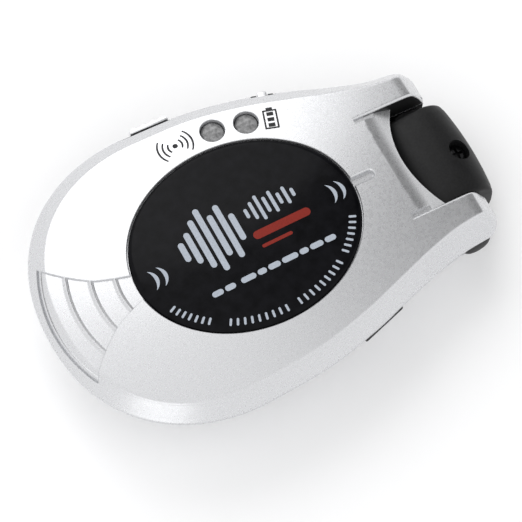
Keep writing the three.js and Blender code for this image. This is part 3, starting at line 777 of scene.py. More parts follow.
def arm_edge(side):
    """An arm's inner top edge, from the dip's corner over the rolled front end and down."""
    path = [Vector((x, side * FORK_HALF, front_height(x, FORK_HALF)))
            for x in [22.6 + 0.3 * i for i in range(38)] + [33.9 + 0.2 * i for i in range(11)]]
    path += [Vector((ARM_END_X, side * FORK_HALF, z)) for z in (RIM_FOOT_Z - DROOP - 0.3, 11.0)]
    edge = []
    for i, point in enumerate(path):
        along = (path[min(i + 1, len(path) - 1)] - path[max(i - 1, 0)]).normalized()
        edge.append((point, Vector((0, side, 0)), Vector((along.z, 0, -along.x))))
    return edge


def side_frame(x, side):
    """Where a side feature sits: the outline point, its X along the wall and its Y pointing out."""
    step = 0.5
    slope = (half_width_at(x + step) - half_width_at(x - step)) / (2 * step)
    turn = math.atan(slope) if side > 0 else math.pi - math.atan(slope)
    return Matrix.Translation((x, side * half_width_at(x), 0)) @ Matrix.Rotation(turn, 4, "Z")


def hull_inset(z, x=0.0):
    """How far the hull is drawn in at a height."""
    fall = (SEAM_Z - min(z, SEAM_Z)) / SEAM_Z
    share = blend(1, ARM_SHARE, ease(x, *STEEPENS))
    return HULL_LIP + share * HULL_INSET * (1 - (1 - fall ** HULL_POWER) ** (1 / HULL_POWER))


def hull_ring(edge, shape_z, z, thinner=0.0):
    """A ring of the hull at a height. It stands out a little more over the charging socket."""
    ring = []
    for point in edge:
        near = ease(7.0 - abs(point.x - SOCKET_X), 0, 2) if point.y < 0 else 0
        swell = SOCKET_SWELL * near * ease(shape_z, 9, 12)
        p = drawn_in(point, hull_inset(shape_z, point.x) + thinner - swell, HULL_FRONT_SHARE)
        ring.append((p.x, p.y, z * (1 - droop_at(p.x) / SEAM_Z)))
    return ring


def lower_body():
    """The bottom shell's outside as one closed body."""
    edge = [point for point, _ in outline(200)]
    seat = hull_ring(edge, 0, 0)
    rings = []
    for share in (0.3, 0.7, 0.97):
        rings.append([(CROWN_X + (x - CROWN_X) * share, y * share, z) for x, y, z in seat])
    heights = (0, 0.12, 0.3, 0.6, 1.1, 1.8, 2.7, 3.8, 5, 6.3, 7.6, 8.9,
               10.1, 11.2, 12.2, 13, 13.6, SEAM_Z - GAP)
    rings += [hull_ring(edge, z, z) for z in heights]
    rim = [(x, y) for x, y, _ in rings[-1]]
    for share in (0.985, 0.9, 0.75, 0.55, 0.35, 0.15):
        scaled = [(CROWN_X + (x - CROWN_X) * share, y * share) for x, y in rim]
        rings.append([(x, y, (SEAM_Z - GAP) * (1 - droop_at(x) / SEAM_Z)) for x, y in scaled])
    return loft("lower_housing", rings)


def lower_cavity():
    edge = [point for point, _ in outline(60)]
    levels = [(0.9, WALL), (3.6, 3.6), (6.4, 6.4), (9.4, 9.4), (12.2, 12.2), (SEAM_Z, SEAM_Z + 1)]
    rings = []
    for shape_z, z in levels:
        ring = hull_ring(edge, shape_z, z, WALL)
        rings.append([(min(x, CAVITY_END_X), y, min(z, 40)) for x, y, z in ring])
    return loft("lower_cavity", rings)


# ---- finishes ----
class Finish:
    """One material under construction, with object coordinates in millimetres."""

    def __init__(self, name, roughness=0.5, metallic=0.0, centre=(0, 0, 0), **sockets):
        self.material = bpy.data.materials.new(name)
        self.material.use_nodes = True
        self.nodes = self.material.node_tree.nodes
        self.shader = self.nodes["Principled BSDF"]
        self.shader.inputs["Roughness"].default_value = roughness
        self.shader.inputs["Metallic"].default_value = metallic
        for key, value in sockets.items():
            self.shader.inputs[key.replace("_", " ").title().replace("Ior", "IOR")].default_value = value
        coordinates = self.nodes.new("ShaderNodeTexCoord")
        mapping = self.nodes.new("ShaderNodeMapping")
        mapping.inputs["Scale"].default_value = (1 / MM, 1 / MM, 1 / MM)
        mapping.inputs["Location"].default_value = [-c for c in centre]
        self.link(coordinates.outputs["Object"], mapping.inputs["Vector"])
        self.place = mapping.outputs["Vector"]

    def link(self, output, target):
        self.material.node_tree.links.new(output, target)

    def noise(self, scale, detail=2.0, distortion=0.0, stretch=None):
        """Noise with this many cells to a millimetre, stretched along an axis if asked."""
        node = self.nodes.new("ShaderNodeTexNoise")
        node.inputs["Scale"].default_value = scale
        node.inputs["Detail"].default_value = detail
        node.inputs["Distortion"].default_value = distortion
        source = self.place
        if stretch:
            mapping = self.nodes.new("ShaderNodeMapping")
            mapping.inputs["Scale"].default_value = stretch
            self.link(source, mapping.inputs["Vector"])
            source = mapping.outputs["Vector"]
        self.link(source, node.inputs["Vector"])
        return node.outputs["Fac"]

    def cells(self, scale, feature="F1"):
        node = self.nodes.new("ShaderNodeTexVoronoi")
        node.feature = feature
        node.inputs["Scale"].default_value = scale
        self.link(self.place, node.inputs["Vector"])
        return node.outputs["Distance"]

    def ramp(self, source, stops):
        """Colours along a source, as (position, colour) stops, painted on the surface."""
        node = self.nodes.new("ShaderNodeValToRGB")
        elements = node.color_ramp.elements
        while len(elements) < len(stops):
            elements.new(0.5)
        for element, (position, shade) in zip(elements, stops):
            element.position = position
            element.color = (*shade, 1)
        self.link(source, node.inputs["Fac"])
        self.link(node.outputs["Color"], self.shader.inputs["Base Color"])
        return self

    def tint(self, source, base, dark=0.85, light=1.12, low=0.3, high=0.7):
        shades = [tuple(min(c * gain, 1) for c in base) for gain in (dark, light)]
        return self.ramp(source, [(low, shades[0]), (high, shades[1])])

    def vary_roughness(self, source, low, high):
        node = self.nodes.new("ShaderNodeMapRange")
        node.inputs["From Min"].default_value = 0.3
        node.inputs["From Max"].default_value = 0.7
        node.inputs["To Min"].default_value = low
        node.inputs["To Max"].default_value = high
        self.link(source, node.inputs["Value"])
        self.link(node.outputs["Result"], self.shader.inputs["Roughness"])
        return self

    def emboss(self, source, depth, strength=1.0):
        """Surface relief of a depth in millimetres."""
        node = self.nodes.new("ShaderNodeBump")
        node.inputs["Strength"].default_value = strength
        node.inputs["Distance"].default_value = depth * MM
        self.link(source, node.inputs["Height"])
        self.link(node.outputs["Normal"], self.shader.inputs["Normal"])
        return self


FINISHES = {}


def shared(name, make):
    """Each finish is made once and shared by its pieces."""
    if name not in FINISHES:
        FINISHES[name] = make().material
    return FINISHES[name]


def silver_paint():
    def make():
        finish = Finish("satin_silver_paint", metallic=0.72, coat_weight=0.12, coat_roughness=0.25)
        grain = finish.noise(6.5, detail=2)
        finish.tint(grain, finishes().silver, dark=0.93, light=1.06, low=0.36, high=0.64)
        finish.vary_roughness(finish.noise(1.6), 0.25, 0.31)
        return finish.emboss(finish.noise(7, detail=2), 0.006, 0.3)
    return shared("silver", make)


def black_plastic():
    def make():
        finish = Finish("fine_matt_black_plastic", specular_ior_level=0.2)
        finish.tint(finish.noise(2.5, detail=3), finishes().black, dark=0.8, light=1.3)
        finish.vary_roughness(finish.noise(0.5), 0.42, 0.52)
        return finish.emboss(finish.noise(7, detail=2), 0.012, 0.35)
    return shared("black", make)


def label_gloss():
    def make():
        finish = Finish("gloss_black_label", specular_ior_level=0.07)
        finish.tint(finish.noise(0.6), finishes().label, dark=0.7, light=1.5)
        finish.vary_roughness(finish.noise(0.25, detail=4), 0.10, 0.17)
        return finish.emboss(finish.noise(0.3), 0.01, 0.2)
    return shared("label", make)


def print_ink(name, base):
    def make():
        finish = Finish(name, specular_ior_level=0.2)
        finish.tint(finish.noise(5, detail=3), base, dark=0.88, light=1.1)
        return finish.vary_roughness(finish.noise(3), 0.32, 0.45)
    return shared(name, make)


def frosted_lens(name, centre):
    """Frosted grey, cloudy from the light source behind it."""
    def make():
        finish = Finish(f"frosted_lens_{name}", centre=(*centre, 0), coat_weight=0.3, coat_roughness=0.2)
        finish.tint(finish.noise(1.1, detail=3), finishes().lens, dark=0.7, light=1.75, low=0.42, high=0.66)
        finish.vary_roughness(finish.noise(4), 0.3, 0.45)
        return finish.emboss(finish.cells(2.6), 0.06, 0.5)
    return shared(f"lens_{name}", make)


def plain_metal(name, base, low, high, stretch):
    """Turned or drawn metal, with fine lines along its length."""
    def make():
        finish = Finish(name, metallic=1.0)
        finish.tint(finish.noise(1.2, detail=3), base, dark=0.86, light=1.08)
        finish.vary_roughness(finish.noise(1.5, detail=4, stretch=stretch), low, high)
        return finish.emboss(finish.noise(3, detail=3, stretch=stretch), 0.004, 0.4)
    return shared(name, make)


def nickel_plate():
    return plain_metal("nickel_plate", finishes().nickel, 0.12, 0.22, (12, 1, 1))


def bright_steel():
    return plain_metal("bright_steel", (0.55, 0.56, 0.58), 0.24, 0.36, (1, 8, 1))


def dark_screw_steel():
    return plain_metal("blackened_steel", (0.05, 0.05, 0.052), 0.3, 0.42, (4, 4, 4))


def solder_mask():
    def make():
        finish = Finish("solder_mask_green", coat_weight=0.3)
        finish.ramp(finish.cells(0.9, "DISTANCE_TO_EDGE"),
                    [(0.02, (0.045, 0.20, 0.09)), (0.06, (0.02, 0.12, 0.05))])
        finish.vary_roughness(finish.noise(1.5), 0.3, 0.42)
        return finish.emboss(finish.cells(0.9, "DISTANCE_TO_EDGE"), 0.03, 0.4)
    return shared("board", make)


def moulded(name, base, low, high, scale, depth=0.01):
    def make():
        finish = Finish(name)
        finish.tint(finish.noise(scale, detail=3), base)
        finish.vary_roughness(finish.noise(scale / 3), low, high)
        return finish.emboss(finish.noise(scale * 1.6), depth, 0.4)
    return shared(name, make)


def foil_pouch():
    def make():
        finish = Finish("battery_foil", metallic=0.85)
        finish.tint(finish.noise(0.5, detail=5), (0.6, 0.62, 0.65))
        finish.vary_roughness(finish.noise(0.8, detail=4), 0.28, 0.42)
        return finish.emboss(finish.noise(0.45, detail=5, distortion=0.6), 0.12, 0.5)
    return shared("foil", make)


def foam_tape():
    def make():
        finish = Finish("foam_tape")
        finish.tint(finish.cells(3), (0.03, 0.03, 0.03), dark=0.6, light=1.6)
        finish.vary_roughness(finish.noise(2), 0.85, 0.95)
        return finish.emboss(finish.cells(3), 0.15, 0.7)
    return shared("foam", make)


INSIDE_FINISHES = {
    "led": lambda: moulded("led_phosphor", (0.8, 0.78, 0.6), 0.3, 0.45, 3),
    "board_green": solder_mask,
    "chip_black": lambda: moulded("chip_package", (0.02, 0.02, 0.022), 0.5, 0.65, 4),
    "steel": bright_steel,
    "nickel": nickel_plate,
    "ceramic": lambda: moulded("fired_ceramic", (0.75, 0.72, 0.65), 0.5, 0.65, 2),
    "cell_pouch": foil_pouch,
    "foam": foam_tape,
    "lead_red": lambda: moulded("red_wire_sleeve", (0.4, 0.02, 0.02), 0.35, 0.5, 3),
    "lead_black": lambda: moulded("black_wire_sleeve", (0.02, 0.02, 0.02), 0.35, 0.5, 3),
}


# ---- print: ribbons that follow the surface below them ----
def ribbon(points, halves):
    """A flat ribbon's corners on both sides of a line of points, with a half width at each point."""
    sides = []
    for i, point in enumerate(points):
        before, after = Vector(points[max(i - 1, 0)]), Vector(points[min(i + 1, len(points) - 1)])
        along = (after - before).normalized()
        across = Vector((-along.y, along.x)) * halves[i]
        sides.append((Vector(point) + across, Vector(point) - across))
    return sides


def capsule(start, end, half, steps=14):
    """A straight ribbon with round ends."""
    start, end = Vector(start), Vector(end)
    along = (end - start).normalized()
    cap = [math.radians(90) * i / 6 for i in range(7)]
    places, halves = [], []
    for t in cap:
        places.append(start - along * half * math.cos(t))
        halves.append(max(half * math.sin(t), 0.004))
    for i in range(1, steps):
        places.append(start.lerp(end, i / steps))
        halves.append(half)
    for t in reversed(cap):
        places.append(end + along * half * math.cos(t))
        halves.append(max(half * math.sin(t), 0.004))
    return ribbon(places, halves)


def arc_ribbon(centre, radius, low, high, half, steps=18, pointed=0.0):
    """A ribbon along an arc between two angles in degrees. Pointed ones thin out towards their ends."""
    points, halves = [], []
    for i in range(steps + 1):
        share = i / steps
        turn = math.radians(blend(low, high, share))
        points.append((centre[0] + radius * math.cos(turn), centre[1] + radius * math.sin(turn)))
        halves.append(max(half * (1 - pointed * abs(2 * share - 1) ** 1.6), 0.01))
    return ribbon(points, halves)


def printed_piece(name, ribbons, surface, lift=0.02, depth=0.04):
    """All ribbons as one thin raised print on a surface."""
    vertices, faces = [], []
    for sides in ribbons:
        first = len(vertices)
        for left, right in sides:
            for (x, y), offset in ((left, lift), (right, lift), (right, lift - depth), (left, lift - depth)):
                vertices.append((x, y, surface(x, y) + offset))
        last = first + 4 * (len(sides) - 1)
        faces.append((first, first + 1, first + 2, first + 3))
        faces.append((last + 3, last + 2, last + 1, last))
        for low in range(first, last, 4):
            for i in range(4):
                j = (i + 1) % 4
                faces.append((low + i, low + 4 + i, low + 4 + j, low + j))
    piece = new_mesh(name, vertices, faces)
    turn_outwards(piece)
    return piece


def label_height(x, y):
    return crown_height(x, y) - sizes().label_sink / MM


def pale_label_marks():
    """Sound bars, small bars, a row of dashes, a ring of ticks and the two radio-wave signs."""
    marks = []
    for i, height in enumerate((2.6, 5.0, 8.4, 11.2, 7.0, 9.4, 4.2)):
        x = -13.6 + 1.62 * i
        marks.append(capsule((x, 1.6 - height / 2), (x, 1.6 + height / 2), 0.52, steps=20))
    for i, height in enumerate((1.2, 2.8, 4.2, 2.4, 3.6, 1.6, 2.8, 1.0)):
        x = -1.4 + 1.22 * i
        marks.append(capsule((x, 2.9 - height / 2), (x, 2.9 + height / 2), 0.3, steps=10))
    x = -12.6
    for i, span in enumerate((1.0, 0.9, 0, 1.7, 0.6, 1.2, 1.9, 0.6, 1.4, 1.0)):
        if span:
            marks.append(capsule((x, -7.3), (x + span, -7.3), 0.5, steps=6))
        x += span + 1.35 if span else 0.7
    for i in range(36):
        turn = math.radians(blend(205, 338, i / 35))
        if i in (7, 8, 18, 28):
            continue
        reach = [(a * math.cos(turn) + CROWN_X, b * math.sin(turn))
                 for a, b in ((17.9, 14.3), (18.8, 15.2))]
        marks.append(capsule(reach[0], reach[1], 0.2, steps=3))
    for bulge in (-19.7, -18.1, 13.3, 14.9):
        marks.append(arc_ribbon((bulge - 2.3, -0.3), 2.3, -52, 52, 0.33, pointed=0.97))
    return marks


def accent_mark():
    return [capsule((-1.6, -1.3), (7.4, -1.3), 0.75, steps=24),
            capsule((-1.6, -3.5), (3.4, -3.5), 0.3, steps=16)]


def battery_sign(centre, turn):
    """A battery outline with its nub and three charge blocks."""
    ways = Matrix.Rotation(math.radians(turn), 2)

    def at(x, y):
        return tuple(Vector(centre) + ways @ Vector((x, y)))
    corners = [(-1.08, -1.95), (1.08, -1.95), (1.08, 1.45), (-1.08, 1.45)]
    marks = [capsule(at(*a), at(*b), 0.15, steps=4) for a, b in zip(corners, corners[1:] + corners[:1])]
    marks.append(ribbon([at(-0.55, 1.8), at(0.55, 1.8)], [0.24, 0.24]))
    for y in (-1.35, -0.28, 0.79):
        marks.append(ribbon([at(-0.58, y), at(0.58, y)], [0.36, 0.36]))
    return marks


def sound_sign(centre, turn):
    """A dot with three growing waves."""
    base = Vector(centre)
    marks = [capsule(base - Vector((0.05, 0)), base + Vector((0.05, 0)), 0.42, steps=3)]
    for radius in (1.25, 2.15, 3.05):
        marks.append(arc_ribbon(centre, radius, turn - 42, turn + 42, 0.18, pointed=0.25))
        marks.append(arc_ribbon(centre, radius, turn + 138, turn + 222, 0.18, pointed=0.25))
    return marks


# ---- operators, one for each piece or group of like pieces ----
class GUITARUNIT_OT_upper_housing(bpy.types.Operator):
    """Build the upper housing, with its rim, sunk fan, label recess, dip and fork"""
    bl_idname = "guitar_unit.upper_housing"
    bl_label = "Upper Housing"

    def execute(self, context):
        piece = cut(upper_body(), upper_cavity())
        for place in POST_PLACES:
            fuse(piece, rod("post", "z", (POST_BASE_Z, POST_TOP_Z), place, POST_R, 32))
            cut(piece, rod("pilot", "z", (POST_BASE_Z - 1, 12), place, 0.8, 20))
        floor_z = crown_height(CROWN_X + 20.1, 0) - 1
        a, b = sizes().label_length / MM + 0.16, sizes().label_width / MM + 0.16
        cut(piece, pocket_cutter("label_recess", oval(a, b, 180), lambda x, y: floor_z, top_height, 0.16))
        for x, y in LED_PLACES.values():
            r = sizes().light_radius / MM
            hole = oval(r, r, 56, (x, y))
            cut(piece, pocket_cutter("light_hole", hole, lambda x, y: 11.0, top_height, 0.12))
        end = [(20.1 + NOTCH_HALF * math.sin(t), -NOTCH_HALF * math.cos(t)) for t in
               [math.radians(180) * i / 16 for i in range(17)]]
        notch = [(15.9, -NOTCH_HALF)] + end + [(15.9, NOTCH_HALF)]
        cut(piece, pocket_cutter(
            "notch", notch, lambda x, y: top_height(x, y) - NOTCH_DEPTH, top_height, 0.3))
        cut(piece, fan_cutter(), scallop_cutter(), saddle_cutter())
        cut(piece, edge_cutter("saddle_edge", saddle_edge(), 0.4))
        cut(piece, *[edge_cutter("arm_edge", arm_edge(side), 0.55) for side in (1, -1)])
        cut(piece, block("switch_gap", (-4.6, 4.6), (-0.3, 5), (10, 20), side_frame(SWITCH_X, 1)))
        cut(piece, block("button_gap", (-2.1, 2.1), (-0.35, 5), (10, 20), side_frame(BUTTON_X, 1)))
        finish_piece(piece, "housing", "silver_paint", silver_paint(), "top_shell")
        paint_recess_shade(piece)
        return {"FINISHED"}


class GUITARUNIT_OT_lower_housing(bpy.types.Operator):
    """Build the lower housing, with its plug channel, fork, screw wells and side openings"""
    bl_idname = "guitar_unit.lower_housing"
    bl_label = "Lower Housing"

    def execute(self, context):
        hull = lower_body()
        wall = block("channel_wall", (CHANNEL_END_X - 1.3, 40), (-CHANNEL_HALF - 1.3, CHANNEL_HALF + 1.3),
                     (0.3, CHANNEL_TOP_Z + 1.3))
        inner = keep_inside(wall, copy_of(hull))
        piece = fuse(cut(hull, lower_cavity()), inner)
        for x, y in POST_PLACES:
            fuse(piece, rod("well", "z", (1.0, POST_BASE_Z - GAP), (x, y), POST_R + 0.6, 32))
            well = oval(1.85, 1.85, 40, (x, y))
            cut(piece, mirrored_down(pocket_cutter(
                "well_cut", well, lambda x, y: -3.0, lambda x, y: 0.0, 0.2)))
            cut(piece, rod("shank_hole", "z", (0, 7), (x, y), 0.95, 20))
        ends = [math.radians(180) * i / 24 for i in range(25)]
        middle = CHANNEL_END_X + CHANNEL_HALF
        channel = [(60, CHANNEL_HALF)]
        channel += [(middle - CHANNEL_HALF * math.sin(t), CHANNEL_HALF * math.cos(t)) for t in ends]
        channel.append((60, -CHANNEL_HALF))
        cut(piece, mirrored_down(pocket_cutter(
            "channel", channel, lambda x, y: -CHANNEL_TOP_Z, lambda x, y: 0.0, 0.35)))
        cut(piece, saddle_cutter())
        cut(piece, block("ahead", (HINGE_X, 60), (-FORK_HALF, FORK_HALF), (-5, 30)))
        cut(piece, block("under", (HINGE_X - 6.5, 60), (-FORK_HALF, FORK_HALF), (-5, HINGE_Z)))
        for side in (1, -1):
            for span, radius in (((8, 13.7), 1.9), ((14.4, 30), 3.0), ((12, 16), 1.9)):
                ends = span if side > 0 else (-span[1], -span[0])
                cut(piece, rod("hinge_bore", "y", ends, (HINGE_X, HINGE_Z), radius, 48))
        cut(piece, block("lead_channel", (18, HINGE_X), (-14.05, -12.25), (HINGE_Z - 0.9, HINGE_Z + 0.9)))
        wall_y = half_width_at(SWITCH_X) - hull_inset(12.5)
        cut(piece, block("switch_opening", (-12.8, -3.6), (wall_y - 3.8, 40), (11, 20)))
        frame_at = side_frame(BUTTON_X, 1)
        surround = block("surround", (-3.0, 3.0), (-3.2, 0.45), (10.7, SEAM_Z - GAP), frame_at)
        modify(surround, "BEVEL", width=0.5 * MM, segments=4, limit_method="ANGLE")
        fuse(piece, surround)
        cut(piece, block("button_opening", (-2.1, 2.1), (-6, 8), (11.4, 20), frame_at))
        cut(piece, socket_tunnel(4.35, 1.7, 1.3, -4.5, 8, lift=0.65))
        finish_piece(piece, "housing", "silver_paint", silver_paint(), "bottom_shell")
        paint_recess_shade(piece)
        return {"FINISHED"}


def copy_of(piece):
    twin = piece.copy()
    twin.data = piece.data.copy()
    bpy.context.scene.collection.objects.link(twin)
    return twin


def mirrored_down(piece):
    """Turns a pocket cutter over, so that it opens below the housing."""
    piece.data.transform(Matrix.Diagonal((1, 1, -1, 1)))
    turn_outwards(piece)
    return piece


def rounded_box(half_x, half_y, corner, steps=8):
    points = []
    for quarter, (sx, sy) in enumerate(((1, 1), (-1, 1), (-1, -1), (1, -1))):
        for i in range(steps + 1):
            t = math.radians(90 * (quarter + i / steps))
            points.append((sx * (half_x - corner) + corner * math.cos(t),
                           sy * (half_y - corner) + corner * math.sin(t)))
    return points


def socket_tunnel(half_x, half_z, corner, near, far, lift=0.0):
    """A round-cornered bar through the side wall at the charging socket."""
    way = side_frame(SOCKET_X, -1) @ Matrix.Translation((0, 0, 11.95 + lift)) @ Matrix.Rotation(
        math.radians(-90), 4, "X")
    return prism("socket_bar", rounded_box(half_x, half_z, corner), near, far, turn=way)


class GUITARUNIT_OT_label(bpy.types.Operator):
    """Build the oval gloss label and the marks printed on it"""
    bl_idname = "guitar_unit.label"
    bl_label = "Oval Label"

    def execute(self, context):
        a, b = sizes().label_length / MM, sizes().label_width / MM
        floor_z = crown_height(CROWN_X + 20.1, 0) - 0.95
        rings = [[(x, y, floor_z) for x, y in oval(a, b, 180)]]
        shoulder = ((0, 0.5), (0.05, 0.34), (0.15, 0.2), (0.32, 0.1), (0.55, 0.035), (0.8, 0.005), (0.95, 0))
        for inset, sunk in shoulder:
            rings.append([(x, y, label_height(x, y) - sunk) for x, y in oval(a - inset, b - inset, 180)])
        for share in [0.92 - 0.05 * i for i in range(18)]:
            rings.append([(x, y, label_height(x, y)) for x, y in oval(a * share, b * share, 180)])
        finish_piece(loft("oval_label", rings), "housing", "label_gloss", label_gloss(), "label_plate")
        pale = printed_piece("label_pale_print", pale_label_marks(), label_height)
        finish_piece(pale, "housing", "label_gloss", print_ink("pale_print", finishes().mark))
        red = printed_piece("label_red_print", accent_mark(), label_height, lift=0.025)
        finish_piece(red, "housing", "label_gloss", print_ink("red_print", finishes().accent))
        return {"FINISHED"}


class GUITARUNIT_OT_housing_signs(bpy.types.Operator):
    """Print the battery sign and the sound sign beside the indicators"""
    bl_idname = "guitar_unit.housing_signs"
    bl_label = "Housing Signs"

    def execute(self, context):
        marks = battery_sign((10.55, 16.9), -18) + sound_sign((-6.0, 19.75), 0)
        piece = printed_piece("housing_signs", marks, top_height, lift=0.015)
        finish_piece(piece, "housing", "silver_paint", print_ink("dark_print", finishes().ink))
        return {"FINISHED"}


class GUITARUNIT_OT_indicators(bpy.types.Operator):
    """Build the two frosted indicator lenses"""
    bl_idname = "guitar_unit.indicators"
    bl_label = "Indicators"

    def execute(self, context):
        for name, (x, y) in LED_PLACES.items():
            top = crown_height(x, y) - 0.8
            r = sizes().light_radius / MM - 0.14
            profile = [(15.1, 0), (15.1, 2.45), (15.4, 2.45), (15.4, r), (top - 0.55, r),
                       (top - 0.35, r - 0.04), (top - 0.22, r - 0.16), (top - 0.14, r - 0.4),
                       (top - 0.06, r - 0.9), (top, 0)]
            way = Matrix.Translation((x, y, 0)) @ Matrix.Rotation(math.radians(-90), 4, "Y")
            piece = lathe(f"{name}_lens", profile, 48, way)
            lens = frosted_lens(name, (x, y))
            finish_piece(piece, "housing", "frosted_lens", lens, f"{name}_light_pipe")
        return {"FINISHED"}


class GUITARUNIT_OT_gap_shade_blocks(bpy.types.Operator):
    """Build black blocks behind the slide knob, round the channel button and in the charging slot, as painted
    shade for the dark gaps there
    """
    bl_idname = "guitar_unit.dark_liners"
    bl_label = "Gap Shade Blocks"

    def execute(self, context):
        # Painted shade: each black block stands in for the shadow in a gap, not for a real part.
        ledge = block("slide_gap_shade", (-4.45, 4.45), (-1.6, 0.3), (13.15, 14.2), side_frame(SWITCH_X, 1))
        modify(ledge, "BEVEL", width=0.12 * MM, segments=2, limit_method="ANGLE")
        way = side_frame(BUTTON_X, 1)
        collar = block("button_gap_shade", (-2.05, 2.05), (-1.6, 0.7), (11.45, 13.9), way)
        modify(collar, "BEVEL", width=0.3 * MM, segments=3, limit_method="ANGLE")
        cut(collar, block("button_room", (-1.0, 1.0), (-3, 3), (11.6, 20), way))
        slot = block("socket_gap_shade", (-4.3, 4.3), (-1.9, 0.05), (13.35, 14.3), side_frame(SOCKET_X, -1))
        modify(slot, "BEVEL", width=0.3 * MM, segments=3, limit_method="ANGLE")
        for piece in (ledge, collar, slot):
            finish_piece(piece, "housing", "black_plastic", black_plastic())
        return {"FINISHED"}


class GUITARUNIT_OT_power_switch(bpy.types.Operator):
    """Build the ridged slide knob of the power switch"""
    bl_idname = "guitar_unit.power_switch"
    bl_label = "Power Switch"

    def execute(self, context):
        start, end = -10.9, -4.0
        inner = half_width_at(SWITCH_X) + 0.45
        outer = half_width_at(SWITCH_X) + sizes().knob_stand / MM
        slope = (half_width_at(end) - half_width_at(start)) / (end - start)
        edge = []
        for i in range(65):
            share = i / 64
            x = blend(end, start, share)
            bump = max(math.cos(math.tau * (share * 4 - 0.5)), -0.35)
            edge.append((x, outer + slope * (x + 7.45) - 0.2 + 0.2 * bump))
        back = [(start, inner + slope * (start + 7.45)), (end, inner + slope * (end + 7.45))]
        knob = prism("slide_knob", edge + back, 11.4, 14.35, rounding=0.09)
        wall_y = half_width_at(SWITCH_X) - hull_inset(12.5)
        fuse(knob, block("knob_web", (start + 0.4, end - 0.4), (wall_y - 1.2, inner + 0.5), (11.6, 13.0)))
        fuse(knob, block("knob_stem", (-8.25, -6.65), (wall_y - 2.5, wall_y - 1), (11.8, 12.8)))
        finish_piece(knob, "power_switch", "silver_paint", silver_paint(), "switch_knob")
        return {"FINISHED"}


class GUITARUNIT_OT_channel_button(bpy.types.Operator):
    """Build the small channel button"""
    bl_idname = "guitar_unit.channel_button"
    bl_label = "Channel Button"

    def execute(self, context):
        inside = -hull_inset(11.4, BUTTON_X) - WALL - GAP
        way = side_frame(BUTTON_X, 1)
        cap = prism("channel_button_cap", rounded_box(0.85, 2.2, 0.4), 11.8, 14.1, rounding=0.2,
                    turn=way @ Matrix.Translation((0, 1.2 - 2.2, 0)))
        fuse(cap, block("button_stem", (-0.7, 0.7), (inside - 0.4, -2.4), (11.9, 13.6), way))
        fuse(cap, block("button_flange", (-2.3, 2.3), (inside - 0.8, inside - 0.1), (11.7, 13.2), way))
        finish_piece(cap, "channel_key", "silver_paint", silver_paint(), "channel_button")
        return {"FINISHED"}


class GUITARUNIT_OT_charging_socket(bpy.types.Operator):
    """Build the charging socket's steel can and tongue"""
    bl_idname = "guitar_unit.charging_socket"
    bl_label = "Charging Socket"

    def execute(self, context):
        mouth = -hull_inset(12.4, 10.3) - 1.2
        can = socket_tunnel(3.8, 1.25, 0.7, mouth - 5.4, mouth)
        cut(can, socket_tunnel(3.45, 0.95, 0.5, mouth - 4.8, mouth + 1))
        finish_piece(can, "housing", "steel", bright_steel(), "usb_socket")
        tongue = socket_tunnel(2.0, 0.25, 0.1, mouth - 4.6, mouth - 1.0)
        tongue.name = "socket_tongue"
        finish_piece(tongue, "housing", "chip_black", INSIDE_FINISHES["chip_black"](), "usb_tongue")
        can.name = "socket_can"
        return {"FINISHED"}


def split_frame():
    """The frame of the plane that splits the knuckle: X is the plane's normal, from the hinge axis."""
    return Matrix.Translation((HINGE_X, 0, HINGE_Z)) @ Matrix.Rotation(-SPLIT_TILT, 4, "Y")


def screw_frame():
    """The knuckle screw's own frame, at the mouth of its well: X runs out along the screw."""
    return Matrix.Translation(SCREW_PLACE) @ Matrix.Rotation(-SCREW_TILT, 4, "Y")


def knuckle_barrel(name):
    """A crowned barrel on the hinge axis, made a little squarer seen from its end."""
    s = sizes()
    profile = barrel_profile(s.knuckle_radius / MM, s.knuckle_crown / MM, KNUCKLE_HALF, 0.7)
    piece = lathe(name, [(along + KNUCKLE_Y, radius) for along, radius in profile], 128, at_hinge())
    axis = Vector((HINGE_X, 0, HINGE_Z)) * MM
    for vertex in piece.data.vertices:
        off = vertex.co - axis
        reach = math.hypot(off.x, off.z)
        if reach > 0.1 * MM:
            level = sum(abs(part / reach) ** KNUCKLE_POWER for part in (off.x, off.z))
            square = level ** (-1 / KNUCKLE_POWER)
            vertex.co = axis + Vector((off.x * square, off.y, off.z * square))
    return piece


def hinge_hollows():
    """The pockets in the knuckle's ends for the friction washers and the hollow pins."""
    hollows = []
    for side in (1, -1):
        for reach, radius in ((8.0, 4.2), (6.1, 1.95)):
            span = (reach, 20) if side > 0 else (-20, -reach)
            hollows.append(rod("hollow", "y", span, (HINGE_X, HINGE_Z), radius, 48))
    return hollows


